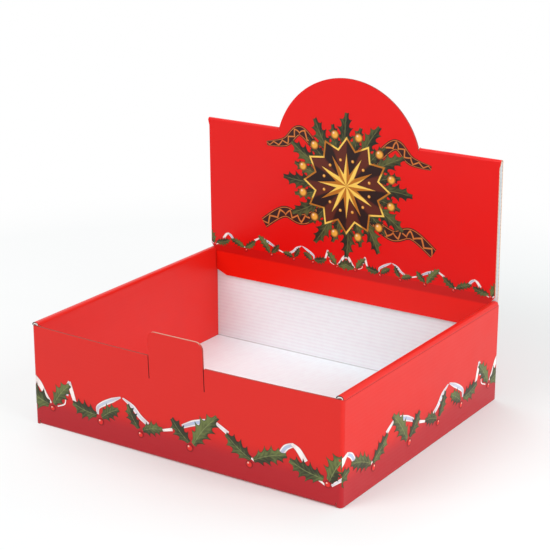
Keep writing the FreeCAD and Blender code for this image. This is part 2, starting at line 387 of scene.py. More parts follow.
def shade(*screen: int) -> Colour:
    """Turns a colour as a screen shows it into the light it stands for.

    Args:
        screen: Its red, green and blue, from 0 to 255.

    Returns:
        The colour, with full cover.
    """
    red, green, blue = (
        part / 12.92 if part <= 0.04045 else ((part + 0.055) / 1.055) ** 2.4
        for part in (value / 255 for value in screen))
    return (red, green, blue, 1.0)


@dataclass(frozen=True)
class BoardFinishes:
    """The finishes of the board: its printed face, its white face and its cut edge."""

    sizes: Sizes
    red: Colour = shade(217, 31, 22)
    header_red: Colour = shade(225, 5, 0)
    deep_red: Colour = shade(178, 27, 36)
    band_red: Colour = shade(201, 15, 10)
    tuck_red: Colour = shade(234, 22, 6)
    white: Colour = shade(239, 249, 252)
    rib_grey: Colour = shade(233, 237, 243)
    paper: Colour = shade(236, 206, 182)
    # Darkest core colour: painted shade in the flute gaps, and flecks in the paper's fibre grain.
    gap: Colour = shade(104, 66, 50)
    # Painted shade inside the front wall's narrow slits.
    slit_shade: Colour = shade(104, 22, 20)
    # Darker red-brown of edge-on cut edges: painted shade, with red print pulled over the edge.
    edge_shade_and_ink: Colour = shade(165, 44, 36)
    # Painted shade: near-black for the dark cavity behind each roll's cut end.
    roll_end_shade: Colour = shade(34, 18, 16)
    rim: Colour = shade(244, 238, 232)
    # Painted shade in the score line along the foot of each roll.
    score_shade_red: Colour = shade(120, 12, 14)
    # Painted shade along the inside of the crease between the floor and the back wall.
    crease_shade: Colour = shade(116, 110, 114)
    soft: float = 1.0 * MM
    liner_roughness: float = 0.62
    edge_roughness: float = 0.8
    print_low: float = 16.0 * MM
    print_high: float = 36.0 * MM
    band_edge: float = 7.5 * MM
    score_height: float = 86.9 * MM
    score_half: float = 0.7 * MM
    score_core: float = 0.2 * MM
    score_shade_share: float = 0.35
    crease_shade_share: float = 0.45
    print_relief: float = 0.01 * MM
    liner_relief: float = 0.016 * MM
    edge_relief: float = 0.05 * MM
    mottle_scale: float = 22.0
    sheen_scale: float = 60.0
    streak_scale: float = 140.0
    grain_scale: float = 900.0
    fibre_scale: float = 1500.0

    @property
    def wall_top(self) -> float:
        """Place of the front wall's top along the flat sheet."""
        return -self.sizes.half_depth - self.sizes.wall

    @property
    def top_fold(self) -> float:
        """Place of the header's top fold along the flat sheet."""
        return self.sizes.half_depth + self.sizes.wall + self.sizes.header

    def ribs(self, along: Wire) -> Wire:
        """Gives the wave of the flutes, from -1 to 1."""
        return (along * (2 * math.pi / self.sizes.flute)).sine()

    def printed(self) -> bpy.types.Material:
        """Gives the glossy red print, which darkens below the garland, with a painted shade along
        the score line of each side wall.

        Returns:
            The finish.
        """
        s, soft = self.sizes, self.soft
        shader = print_shader("printed_face")
        across, along, _ = shader.split(shader.attribute("flat"))
        height = -1.0 * along - s.half_depth
        low = height.ramp(self.print_high, self.print_low) * height.ramp(-soft, soft)
        lid = along.ramp(s.half_depth, s.half_depth + soft)
        colour = low.blend(lid.blend(self.red, self.header_red), self.deep_red)
        tuck = self.top_fold + s.header_gap + s.header
        band = (tuck - along).ramp(self.band_edge + soft, self.band_edge)
        band = band * along.ramp(self.top_fold, tuck - s.header)
        colour = band.blend(colour, self.band_red)
        colour = along.ramp(tuck - soft, tuck + 1.5 * soft).blend(colour, self.tuck_red)
        # Painted shade: a darker red line in the pressed score along each side wall, below its
        # roll.
        score = (height - self.score_height).size().ramp(self.score_half, self.score_core)
        score = score * across.size().ramp(s.half_width, s.half_width + s.corner)
        colour = (score * self.score_shade_share).blend(colour, self.score_shade_red)
        mottle = (shader.noise(self.mottle_scale) * 0.3).most(0.0)
        shader.paint(mottle.blend(colour, self.deep_red))
        shader.polish(shader.noise(self.sheen_scale) * 0.16 + 0.34)
        grain = shader.noise(self.grain_scale) * 0.6
        shader.emboss(self.ribs(along) + grain, self.print_relief)
        return shader.material

    def unprinted(self) -> bpy.types.Material:
        """Gives the white liner, with the ribs of the flutes showing through and a painted shade
        along the crease between the floor and the back wall.

        Returns:
            The finish.
        """
        shader = Shader("white_face", self.liner_roughness)
        _, along, _ = shader.split(shader.attribute("flat"))
        ribs = self.ribs(along)
        streaks = shader.noise(self.streak_scale, 6.0)
        shown = (ribs * 0.2 + 0.35 + streaks * 0.9).ramp(0.0, 1.0)
        fold = self.sizes.fold
        # Painted shade: a grey line along the inside of the crease between the floor and the back
        # wall.
        crease = (along - self.sizes.half_depth).size().ramp(fold, fold / 2)
        colour = shown.blend(self.white, self.rib_grey)
        shader.paint((crease * self.crease_shade_share).blend(colour, self.crease_shade))
        shader.emboss(ribs + streaks * 2.0, self.liner_relief)
        return shader.material

    def slits(self, across: Wire, along: Wire) -> Wire:
        """Gives painted shade on the walls of the front's two slits, where the right one is the
        darker.

        Args:
            across: Place across the flat sheet.
            along: Place along the flat sheet.

        Returns:
            The share of the painted shade in the slits.
        """
        s, soft = self.sizes, self.soft
        middle = across.size() - s.tab_half - s.slit_width / 2
        slit_shade = middle.size().ramp(s.slit_width * 0.8, s.slit_width * 0.6)
        slit_shade = slit_shade * along.ramp(self.wall_top, self.wall_top + soft)
        return slit_shade * (across.ramp(-soft, soft) * 0.55 + 0.3)

    def edge_shade_and_ink_share(self, across: Wire, along: Wire) -> Wire:
        """Gives the cut edges darkened to red-brown, partly as painted shade: the front wall's,
        less along its tab's top edge, and the arch's.

        Args:
            across: Place across the flat sheet.
            along: Place along the flat sheet.

        Returns:
            The share of the darker edge colour.
        """
        s, soft, reach = self.sizes, self.soft, across.size()
        slit_foot = self.wall_top + s.slit_depth + 2 * soft
        tab_top = self.wall_top - s.tab_rise
        front = along.ramp(slit_foot, slit_foot - soft)
        front = front * reach.ramp(s.half_width - soft, s.half_width - 2 * soft)
        # The tab's top edge gets less of this painted shade, where it catches the light.
        front = front * (along.ramp(tab_top + 0.5 * soft, tab_top + 3 * soft) * 0.6 + 0.4)
        crown, root = self.top_fold - s.arch_radius, self.top_fold + s.header_gap
        arch = along.ramp(crown, crown + soft) * along.ramp(root, root - soft)
        return front.most(arch * reach.ramp(s.chord_half + 2 * soft, s.chord_half))

    def roll_ends(self, across: Wire, along: Wire) -> Wire:
        """Gives the cut ends of the rolled side walls, which carry a painted shade.

        Args:
            across: Place across the flat sheet.
            along: Place along the flat sheet.

        Returns:
            The share of the roll ends' painted shade and light liner.
        """
        s, soft = self.sizes, self.soft
        roll_end = -s.half_depth - s.roll_top - s.side_thickness
        roll = along.ramp(self.wall_top, self.wall_top - 0.3 * soft)
        roll = roll * along.ramp(roll_end - 4 * soft, roll_end - 3 * soft)
        return roll * across.size().ramp(s.half_width, s.half_width + soft)

    def cut(self) -> bpy.types.Material:
        """Gives the cut edge: two liners, the flute that waves between them, and painted shade in
        the gaps beside it.

        Returns:
            The finish.
        """
        shader = Shader("cut_edge", self.edge_roughness)
        across, along, _ = shader.split(shader.attribute("flat"))
        depth = shader.attribute("depth", 2)
        flute = (depth - 0.5 - self.ribs(along) * 0.3).size().ramp(0.09, 0.16)
        inside = (depth - 0.5).size().ramp(0.37, 0.3)
        grain = shader.noise(self.fibre_scale)
        # The paper is flecked with the gap colour by its fibre grain.
        tint = (grain * 0.5 + 0.1).most(0.0).blend(self.paper, self.gap)
        # Painted shade: the air gaps on both sides of the waving flute take the gap colour.
        colour = (flute * inside * 0.75).blend(tint, self.gap)
        # Painted shade, with red print pulled over the edge: edge-on cut edges turn a darker
        # red-brown, broken by the fibre grain.
        edge_shade_and_ink = self.edge_shade_and_ink_share(across, along) * (0.95 - grain.most(0.0) * 0.6)
        colour = edge_shade_and_ink.blend(colour, self.edge_shade_and_ink)
        # Painted shade: the outer half of each roll's cut end is near-black for the cavity behind
        # it; the inner half is a light liner.
        ends = depth.ramp(0.5, 0.6).blend(self.roll_end_shade, self.rim)
        colour = self.roll_ends(across, along).blend(colour, ends)
        # Painted shade: the front wall's slits darken to a deep red, more in the right one.
        shader.paint(self.slits(across, along).blend(colour, self.slit_shade))
        shader.emboss(grain - flute * inside, self.edge_relief)
        return shader.material

    def build(self) -> list[bpy.types.Material]:
        """Makes the finishes in the order of Face."""
        return [self.printed(), self.unprinted(), self.cut()]


@dataclass(frozen=True)
class InkFinishes:
    """The finishes of the printed motifs."""

    leaf_edge: Colour = shade(40, 34, 26)
    ribbon_white: Colour = shade(252, 240, 236)
    ribbon_blue: Colour = shade(166, 184, 214)
    ribbon_pink: Colour = shade(206, 170, 170)
    ribbon_edge: Colour = shade(92, 30, 30)
    highlight: Colour = shade(255, 226, 205)
    tail_brown: Colour = shade(52, 20, 16)
    copper: Colour = shade(226, 134, 62)
    dull_copper: Colour = shade(160, 74, 30)
    veins: float = 40.0
    zigzags: float = 14.0
    folds: float = 8.0
    sheen_scale: float = 110.0
    copper_scale: float = 260.0
    foil_scale: float = 120.0

    def leaf(self, name: str, dark: Colour, light: Colour, rib: Colour) -> bpy.types.Material:
        """Gives a leaf with a pale midrib, side veins, a dark edge and a mottled sheen.

        Args:
            name: The finish's name.
            dark: The colour of its shaded parts.
            light: The colour of its lit parts.
            rib: The colour of the midrib.

        Returns:
            The finish.
        """
        shader = print_shader(name)
        along, across = shader.across_print()
        tone = shader.attribute("tone", 2)
        veins = ((along - across.size() * 0.22) * self.veins).sine() * 0.12
        sheen = shader.noise(self.sheen_scale, 2.0) * 1.3
        lit = across.ramp(-0.9, 0.8) * 0.45 + tone * 0.5 + veins + sheen
        colour = lit.ramp(0.1, 1.05).blend(dark, light)
        colour = (across.size().ramp(0.09, 0.02) * 0.6).blend(colour, rib)
        shader.paint((across.size().ramp(0.72, 1.0) * 0.7).blend(colour, self.leaf_edge))
        return shader.material

    def ribbon(self) -> bpy.types.Material:
        """Gives the white ribbon, with a blue-grey middle where it is in shade.

        Returns:
            The finish.
        """
        shader = print_shader("garland_ribbon")
        along, across = shader.across_print()
        tone = shader.attribute("tone", 2)
        middle = across.size().ramp(0.72, 0.38) * tone
        blush = ((along * 9.0 + across * 0.7).sine() * 0.22 + 0.1).most(0.0)
        colour = blush.blend(middle.blend(self.ribbon_white, self.ribbon_blue), self.ribbon_pink)
        shader.paint((across.size().ramp(0.8, 1.0) * 0.75).blend(colour, self.ribbon_edge))
        return shader.material

    def ball(self, name: str, core: Colour, rim: Colour) -> bpy.types.Material:
        """Gives a round ball with a small highlight and a darker rim.

        Args:
            name: The finish's name.
            core: The colour of its middle.
            rim: The colour of its rim.

        Returns:
            The finish.
        """
        shader = print_shader(name)
        along, across = shader.across_print()
        left = along * 2.0 - 1.0
        reach = (left * left + across * across).math("SQRT")
        off = ((left + 0.3) * (left + 0.3) + (across - 0.35) * (across - 0.35)).math("SQRT")
        colour = reach.ramp(0.45, 1.0).blend(core, rim)
        shader.paint((off.ramp(0.34, 0.08) * 0.75).blend(colour, self.highlight))
        return shader.material

    def tail(self) -> bpy.types.Material:
        """Gives the dark ribbon tails, with a copper zigzag between two thin copper lines.

        Returns:
            The finish.
        """
        shader = print_shader("rosette_ribbon")
        along, across = shader.across_print()
        zigzag = (along * self.zigzags).math("PINGPONG", 1.0) - 0.5
        line = (across - zigzag).size().ramp(0.24, 0.12)
        border = (across.size() - 0.78).size().ramp(0.08, 0.04)
        wear = (shader.noise(self.copper_scale) + 0.35).most(0.0)
        copper = wear.blend(self.copper, self.dull_copper)
        shader.paint(line.most(border).blend(self.tail_brown, copper))
        return shader.material

    def foil(self, name: str, light: Colour, dark: Colour) -> bpy.types.Material:
        """Gives a star whose points are folded, light on one flank and dark on the other.

        Args:
            name: The finish's name.
            light: The colour of the lit flanks.
            dark: The colour of the shaded flanks.

        Returns:
            The finish.
        """
        shader = print_shader(name)
        along, across = shader.across_print()
        turn = across.math("ARCTAN2", along * 2.0 - 1.0)
        lit = (turn * self.folds).sine() * 0.9 + 0.5 + shader.noise(self.foil_scale) * 0.5
        shader.paint(lit.ramp(0.2, 0.8).blend(dark, light))
        return shader.material


def pick(*pieces: bpy.types.Object) -> None:
    """Selects some pieces alone, with the first one active.

    Args:
        pieces: The pieces.
    """
    bpy.ops.object.select_all(action="DESELECT")
    for piece in pieces:
        piece.select_set(True)
    bpy.context.view_layer.objects.active = pieces[0]


def start_selection(part: Part) -> None:
    """Sets the kind of element to select, with none selected."""
    bpy.ops.mesh.select_mode(type=part.value)
    bpy.ops.mesh.select_all(action="DESELECT")


@contextmanager
def editing(piece: bpy.types.Object) -> Iterator[bmesh.types.BMesh]:
    """Hands over the mesh of a piece in edit mode and writes the changes back.

    Args:
        piece: The piece.

    Yields:
        Its mesh.
    """
    shape = bmesh.from_edit_mesh(piece.data)
    yield shape
    bmesh.update_edit_mesh(piece.data)


def apply_modifier(piece: bpy.types.Object, kind: str, **settings: object) -> None:
    """Adds a modifier to a piece, sets it and applies it.

    Args:
        piece: The object to change.
        kind: The modifier's type.
        settings: Its properties, by name.
    """
    pick(piece)
    modifier = piece.modifiers.new(kind.title(), kind)
    for name, value in settings.items():
        setattr(modifier, name, value)
    bpy.ops.object.modifier_apply(modifier=modifier.name)


class Bench:
    """One mesh on the bench, shaped with edit-mode tools."""

    def __init__(self, name: str) -> None:
        """Starts an empty mesh in edit mode.

        Args:
            name: The piece's name.
        """
        bpy.ops.object.select_all(action="DESELECT")
        bpy.ops.mesh.primitive_plane_add()
        self.piece = bpy.context.object
        self.piece.name = name
        self.piece.data.name = name
        bpy.ops.object.mode_set(mode="EDIT")
        bpy.ops.mesh.select_all(action="SELECT")
        bpy.ops.mesh.delete(type="VERT")

    def rectangle(self, left: float, right: float, low: float, high: float) -> None:
        """Adds a flat rectangle.

        Args:
            left: Where it starts across the flat sheet.
            right: Where it ends across the flat sheet.
            low: Where it starts along the flat sheet.
            high: Where it ends along the flat sheet.
        """
        centre = ((left + right) / 2, (low + high) / 2, 0.0)
        bpy.ops.mesh.primitive_plane_add(size=1, location=centre)
        bpy.ops.transform.resize(value=(right - left, high - low, 1), center_override=centre)

    def select(self, part: Part, test: Callable[[Vector], bool]) -> int:
        """Selects the elements that pass a test.

        Args:
            part: The kind of element.
            test: Takes the place of an element's middle.

        Returns:
            How many were selected.
        """
        start_selection(part)
        with editing(self.piece) as shape:
            if part is Part.VERTS:
                found = [vert for vert in shape.verts if test(vert.co)]
            elif part is Part.EDGES:
                found = [edge for edge in shape.edges
                         if test((edge.verts[0].co + edge.verts[1].co) / 2)]
            else:
                found = [face for face in shape.faces if test(face.calc_center_median())]
            for element in found:
                element.select_set(True)
            shape.select_flush_mode()
        return len(found)

    def select_creases(self, test: Callable[[Vector], bool], sharpness: float = 0.5) -> None:
        """Selects the sharp edges between two faces whose middle passes a test.

        Args:
            test: Takes the place of an edge's middle.
            sharpness: The least angle between the faces.
        """
        start_selection(Part.EDGES)
        with editing(self.piece) as shape:
            for edge in shape.edges:
                middle = (edge.verts[0].co + edge.verts[1].co) / 2
                if (len(edge.link_faces) == 2 and edge.calc_face_angle() > sharpness
                        and test(middle)):
                    edge.select_set(True)

    def slice(self, axis: int, places: list[float], test: Callable[[Vector], bool]) -> None:
        """Cuts the faces that pass a test by planes square to an axis.

        Args:
            axis: The axis, from 0 to 2.
            places: Where the planes stand along it.
            test: Takes the place of a face's middle.
        """
        normal = Vector((0.0, 0.0, 0.0))
        normal[axis] = 1.0
        for place in places:
            self.select(Part.FACES, test)
            bpy.ops.mesh.bisect(plane_co=normal * place, plane_no=normal)

    def remove(self, part: Part, test: Callable[[Vector], bool]) -> None:
        """Deletes the elements that pass a test."""
        if self.select(part, test):
            bpy.ops.mesh.delete(type=part.value)

    def merge(self, reach: float = TOUCH / 5) -> None:
        """Joins the vertices that lie within a reach of each other."""
        bpy.ops.mesh.select_all(action="SELECT")
        bpy.ops.mesh.remove_doubles(threshold=reach)

    def move_to(self, test: Callable[[Vector], bool], place: tuple[float, float | None]) -> None:
        """Moves the vertices that pass a test to a place on the flat sheet.

        Args:
            test: Takes a vertex's place.
            place: The new place along each axis, where None leaves it as it is.
        """
        with editing(self.piece) as shape:
            for vert in filter(lambda vert: test(vert.co), shape.verts):
                for axis, value in enumerate(place):
                    if value is not None:
                        vert.co[axis] = value

    def keep_flat(self) -> None:
        """Turns the printed side down and keeps each vertex's place on the flat sheet."""
        bpy.ops.mesh.select_mode(type="FACE")
        with editing(self.piece) as shape:
            for face in shape.faces:
                face.select_set(face.normal.z > 0)
        bpy.ops.mesh.flip_normals()
        with editing(self.piece) as shape:
            flat = shape.verts.layers.float_vector.new("flat")
            for vert in shape.verts:
                vert[flat] = vert.co

    def flatten_new(self, place: Callable[[Vector], Point]) -> None:
        """Gives the selected vertices their places on the flat sheet.

        Args:
            place: Gives that place for a vertex's place.
        """
        with editing(self.piece) as shape:
            flat = shape.verts.layers.float_vector["flat"]
            for vert in shape.verts:
                if vert.select:
                    vert[flat] = Vector((*place(vert.co), 0.0))

    def fold(self, crease: "Crease") -> None:
        """Turns what lies beyond a crease, by its place on the flat sheet.

        Args:
            crease: The crease.
        """
        start_selection(Part.VERTS)
        with editing(self.piece) as shape:
            flat = shape.verts.layers.float_vector["flat"]
            for vert in shape.verts:
                vert.select_set(crease.turns(vert[flat].x, vert[flat].y))
            shape.select_flush_mode()
        bpy.ops.transform.rotate(
            value=-crease.angle, orient_axis=crease.axis, orient_type="GLOBAL",
            center_override=crease.centre)

    def close(self) -> bpy.types.Object:
        """Leaves edit mode and hands over the piece."""
        bpy.ops.object.mode_set(mode="OBJECT")
        return self.piece


@dataclass(frozen=True)
class Crease:
    """One fold of the sheet: what turns, about which line, and by how much."""

    turns: Callable[[float, float], bool]
    axis: str
    centre: Place
    angle: float


@dataclass
class FoldedSheet:
    """The die-cut sheet: tray, rolled side walls, header with its arch, and flaps."""

    sizes: Sizes
    finishes: list[bpy.types.Material]
    bench: Bench
    relief: float = 0.35 * MM
    slot_width: float = 1.85 * MM
    trim_start: float = 2.5 * MM
    trim_end: float = 7.0 * MM
    score_drop: float = 0.7 * MM
    score_width: float = 0.35 * MM
    score_depth: float = 0.22 * MM
    liner: float = 0.26 * MM
    core_depth: float = 0.35 * MM
    arch_sides: int = 144
    wall_columns: tuple[float, ...] = (9.0, 18.0, 40.0, 55.0, 70.0, 85.0, 100.0, 115.0, 130.0)
    wall_row: float = 5.5 * MM
    bend_steps: int = 8
    smooth_angle: float = math.radians(30)

    def __post_init__(self) -> None:
        """Works out the places of the creases on the flat sheet."""
        s = self.sizes
        self.front, self.back = -s.half_depth, s.half_depth
        self.wall_top = self.front - s.wall
        self.wall_foot = self.front - s.fold_top
        self.roll_edge = self.front - s.roll_top
        self.roll_end = self.roll_edge - s.side_thickness
        self.inner_foot = self.roll_end - (s.roll_top - s.board - s.slot_clearance)
        self.tab_foot = self.roll_end - (s.roll_top - s.slot_clearance)
        self.ply_start = s.half_width + s.corner + 2 * TOUCH
        self.ply_end = s.half_width + s.ply_length
        self.roll_stop = self.ply_end - s.roll_back_gap
        self.crease = self.back + s.wall
        self.top_back = self.crease + s.header
        self.top_front = self.top_back + s.header_gap
        self.low_crease = self.top_front + s.header
        self.tuck_foot = self.low_crease + s.tuck
        self.flap_front = self.front + s.flap_front
        self.flap_back = self.back - s.dust_flap - s.flap_clearance
        self.dust_low = self.back + s.fold_top
        self.dust_high = self.crease - s.flap_clearance

    def build(self) -> bpy.types.Object:
        """Draws, cuts, folds and thickens the sheet.

        Returns:
            The finished piece, with one material index for each of the board's surfaces.
        """
        bench = self.bench
        for step in (
                self.draw_panels, self.draw_flaps, self.match_edges, bench.merge,
                self.cut_outline, self.open_arch, bench.keep_flat, self.fold_header,
                self.stand_arch, self.fold_rest, self.round_creases, self.lengthen_roll,
                self.score_roll, self.bow_front):
            step()
        piece = bench.close()
        for finish in self.finishes:
            piece.data.materials.append(finish)
        apply_modifier(
            piece, "SOLIDIFY", thickness=self.sizes.board, offset=-1, use_even_offset=True,
            use_quality_normals=True, material_offset=Face.WHITE.value,
            material_offset_rim=Face.CUT.value)
        self.mark_depth(piece)
        self.sink_core(piece)
        pick(piece)
        bpy.ops.object.shade_smooth_by_angle(angle=self.smooth_angle)
        apply_modifier(piece, "WEIGHTED_NORMAL", keep_sharp=True)
        return piece

    def sink_core(self, piece: bpy.types.Object) -> None:
        """Sinks the fluted core a little between the two liners, along every cut edge.

        Args:
            piece: The thick sheet.
        """
        bpy.ops.object.mode_set(mode="EDIT")
        start_selection(Part.FACES)
        with editing(piece) as shape:
            for face in shape.faces:
                face.select_set(face.material_index == Face.CUT.value)
        bpy.ops.mesh.inset(
            thickness=self.liner, depth=-self.core_depth, use_boundary=True,
            use_even_offset=False)
        bpy.ops.object.mode_set(mode="OBJECT")

    def mark_depth(self, piece: bpy.types.Object) -> None:
        """Writes how deep in the board each vertex lies: 0 on the print and 1 on the liner.

        Args:
            piece: The thick sheet.
        """
        depths = [0.0] * len(piece.data.vertices)
        for face in piece.data.polygons:
            if face.material_index == Face.WHITE.value:
                for vert in face.vertices:
                    depths[vert] = 1.0
        values = piece.data.attributes.new("depth", "FLOAT", "POINT").data
        values.foreach_set("value", depths)

    def draw_panels(self) -> None:
        """Lays the floor, walls, header and tuck flap out flat, printed side down."""
        s, bench = self.sizes, self.bench
        panels = (
            (s.slab_half, self.front, self.back),
            (s.slab_half, self.wall_foot, self.front),
            (s.half_width, self.wall_top, self.wall_foot),
            (s.tab_half, self.wall_top - s.tab_rise, self.wall_top),
            (s.slab_half, self.back, self.crease),
            (s.header_half, self.crease, self.top_back),
            (s.header_half, self.top_back, self.top_front),
            (s.header_half, self.top_front, self.low_crease),
            (s.tuck_half, self.low_crease, self.tuck_foot),
        )
        for half, low, high in panels:
            bench.rectangle(-half, half, low, high)

    def draw_flaps(self) -> None:
        """Lays the plies of the side walls and the hidden flaps out flat on both sides."""
        s, bench = self.sizes, self.bench
        floor_flap_end = s.flap_face + s.wall - s.flap_clearance
        strips = [
            (s.slab_half, s.flap_face, self.flap_front, self.flap_back),
            (s.flap_face, floor_flap_end, self.flap_front, self.flap_back),
            (s.slab_half, s.flap_face, self.dust_low, self.dust_high),
            (s.flap_face, s.flap_face + s.dust_flap, self.dust_low, self.dust_high),
            (s.panel_end, s.half_width, self.wall_foot, self.front - s.foot_gap),
            (s.half_width, self.ply_end, self.wall_top, self.front - s.foot_gap),
            (self.ply_start, self.roll_stop, self.roll_edge, self.wall_top),
            (self.ply_start, self.roll_stop, self.roll_end, self.roll_edge),
            (self.ply_start, self.roll_stop, self.inner_foot, self.roll_end),
        ]
        for start, stop in self.lock_tabs():
            strips.append((start, stop, self.tab_foot, self.inner_foot))
        for near, far, low, high in strips:
            bench.rectangle(near, far, low, high)
            bench.rectangle(-far, -near, low, high)

    def lock_tabs(self) -> list[tuple[float, float]]:
        """Gives both ends of each lock tab along the side ply.

        Returns:
            The start and end of each.
        """
        s = self.sizes
        middle = s.half_width + s.half_depth
        places = (middle - s.tab_half_spacing, middle + s.tab_half_spacing)
        return [(place - s.tab_half_length, place + s.tab_half_length) for place in places]

    def match_edges(self) -> None:
        """Cuts each panel where the edge of a neighbour ends, so that their edges join."""
        s, bench = self.sizes, self.bench
        columns = [column * MM for column in self.wall_columns]
        columns += [s.tab_half, s.tab_half + s.slit_width, s.tuck_half, s.slab_half]
        columns += [s.chord_half, s.chord_half + self.relief]
        self.columns = columns + [-column for column in columns]
        ends = [self.ply_start, self.roll_stop, *(end for tab in self.lock_tabs() for end in tab)]
        bench.slice(0, self.columns, lambda p: abs(p.x) < s.half_width)
        bench.slice(0, [-s.panel_end, s.panel_end],
                    lambda p: abs(p.x) < s.half_width and p.y < self.wall_foot)
        bench.slice(0, ends + [-end for end in ends],
                    lambda p: abs(p.x) > s.half_width and p.y < self.front)
        bench.slice(1, [self.wall_foot], lambda p: p.y < self.front and abs(p.x) > s.half_width)
        bench.slice(1, [self.flap_front, self.flap_back], lambda p: self.front < p.y < self.back)
        bench.slice(1, [self.dust_low, self.dust_high], lambda p: self.back < p.y < self.crease)

    def cut_outline(self) -> None:
        """Cuts the slits, the notches, the trimmed corners and the rounded tab."""
        s, bench = self.sizes, self.bench
        slit_foot = self.wall_top + s.slit_depth
        slit_outside = s.tab_half + s.slit_width
        rows = int((slit_foot - self.wall_foot) / -self.wall_row)
        bench.slice(1, [self.wall_foot - self.wall_row * row for row in range(1, rows)],
                    lambda p: abs(p.x) < s.panel_end and p.y < self.wall_foot)
        bench.slice(1, [slit_foot], lambda p: abs(p.x) < s.panel_end and p.y < self.wall_foot)
        bench.remove(Part.FACES, lambda p: s.tab_half < abs(p.x) < slit_outside
                     and self.wall_top < p.y < slit_foot)

        slot = s.slab_half - self.slot_width
        reach = s.tab_half_length + s.slot_clearance
        slots = [sign * s.tab_half_spacing + end for sign in (-1, 1) for end in (-reach, reach)]
        bench.slice(1, slots, lambda p: self.front < p.y < self.back)
        bench.slice(0, [-slot, slot], lambda p: self.front < p.y < self.back)
        bench.remove(Part.FACES, lambda p: slot < abs(p.x) < s.slab_half
                     and abs(abs(p.y) - s.tab_half_spacing) < reach)

        heel = self.low_crease - s.heel_lift
        bench.slice(1, [self.top_front + self.trim_start, self.top_front + self.trim_end,
                        self.low_crease - s.heel_rise, heel],
                    lambda p: self.top_front < p.y < self.low_crease)
        bench.remove(Part.FACES, lambda p: abs(p.x) > s.tuck_half and heel < p.y < self.low_crease)
        gap = s.chord_half + self.relief
        bench.remove(Part.FACES, lambda p: abs(p.x) < gap and self.top_back < p.y < self.top_front)
        bench.remove(Part.FACES, lambda p: s.chord_half < abs(p.x) < gap
                     and self.top_front < p.y < self.top_front + self.trim_start)
        tuck_side = s.tuck_half - s.tuck_run
        bench.slice(0, [-tuck_side, tuck_side], lambda p: p.y > self.low_crease)
        bench.slice(1, [self.tuck_foot - s.tuck_rise], lambda p: p.y > self.low_crease)
        layer_side = s.header_half - s.header_trim
        for sign in (-1, 1):
            bench.move_to(lambda p: p.x * sign > s.tuck_half and abs(p.y - heel) < TOUCH,
                          (s.tuck_half * sign, heel))
            bench.move_to(lambda p: p.x * sign > tuck_side + TOUCH
                          and abs(p.y - self.tuck_foot) < TOUCH,
                          (tuck_side * sign, self.tuck_foot))
            bench.move_to(lambda p: abs(p.x - s.header_half * sign) < TOUCH
                          and p.y > self.top_front + self.trim_end - TOUCH,
                          (layer_side * sign, None))
        bench.merge()
        bench.select(Part.VERTS, lambda p: abs(abs(p.x) - s.tab_half) < TOUCH
                     and abs(p.y - self.wall_top + s.tab_rise) < TOUCH)
        bpy.ops.mesh.bevel(
            affect="VERTICES", offset=s.tab_corner, segments=self.bend_steps, profile=0.5)

    def open_arch(self) -> None:
        """Cuts the hole that the arch leaves in the header's back layer."""
        s, bench = self.sizes, self.bench
        bench.remove(
            Part.FACES,
            lambda p: abs(p.x) < s.chord_half and self.crease < p.y < self.top_back)
        bpy.ops.mesh.select_all(action="DESELECT")
        bpy.ops.mesh.primitive_circle_add(
            vertices=self.arch_sides, radius=s.arch_radius, fill_type="NOTHING",
            location=(0, self.top_back + s.arch_drop, 0))
        bpy.ops.mesh.bisect(
            plane_co=(0, self.top_back, 0), plane_no=(0, 1, 0), clear_outer=True)
        bench.merge(TOUCH)
        bench.select(Part.EDGES, lambda p: abs(p.x) < s.chord_half + TOUCH
                     and self.crease - TOUCH < p.y < self.top_back + TOUCH)
        bpy.ops.mesh.edge_face_add()

    def fold_header(self) -> None:
        """Folds the lid in half at the two creases of its top edge."""
        for place in (self.top_front, self.top_back):
            self.bench.fold(Crease(
                lambda u, v, place=place: v > place + TOUCH, "X", (0, place, 0), QUARTER))

    def stand_arch(self) -> None:
        """Adds the arch, which stands up from the front layer past the top fold."""
        s, bench = self.sizes, self.bench
        centre = (0, self.top_back - s.arch_drop, s.header_gap)
        bpy.ops.mesh.select_all(action="DESELECT")
        bpy.ops.mesh.primitive_circle_add(
            vertices=self.arch_sides, radius=s.arch_radius, fill_type="NGON", location=centre)
        bpy.ops.mesh.bisect(
            plane_co=(0, self.top_back, 0), plane_no=(0, 1, 0), clear_inner=True)
        bench.slice(0, [place for place in self.columns if abs(place) < s.chord_half - TOUCH],
                    lambda p: p.y > self.top_back and p.z > s.header_gap - TOUCH)
        bench.select(Part.FACES, lambda p: p.y > self.top_back and p.z > s.header_gap - TOUCH)
        bench.flatten_new(lambda p: (p.x, self.top_front - (p.y - self.top_back)))
        bench.merge(TOUCH)

    def fold_rest(self) -> None:
        """Folds the flaps in and the walls up, the outermost crease first."""
        s, bench = self.sizes, self.bench
        bench.fold(Crease(
            lambda u, v: v > self.crease + TOUCH, "X", (0, self.crease, 0), s.header_lean))
        for sign in (-1, 1):
            flap = (s.flap_face * sign, 0, 0)
            bench.fold(Crease(
                lambda u, v: u * sign > s.flap_face + TOUCH and self.back < v < self.crease,
                "Y", flap, -QUARTER * sign))
            bench.fold(Crease(
                lambda u, v: u * sign > s.flap_face + TOUCH
                and self.flap_front - TOUCH < v < self.flap_back + TOUCH,
                "Y", flap, -QUARTER * sign))
        bench.fold(Crease(lambda u, v: v > self.back + TOUCH, "X", (0, self.back, 0), QUARTER))
        for place in (self.roll_end, self.roll_edge):
            bench.fold(Crease(
                lambda u, v, place=place: v < place - TOUCH and abs(u) > s.half_width,
                "X", (0, place, 0), -QUARTER))
        for sign in (-1, 1):
            bench.fold(Crease(
                lambda u, v: u * sign > s.half_width + TOUCH and v < self.front,
                "Y", (s.half_width * sign, 0, 0), -QUARTER * sign))
        bench.fold(Crease(lambda u, v: v < self.front - TOUCH, "X", (0, self.front, 0), -QUARTER))

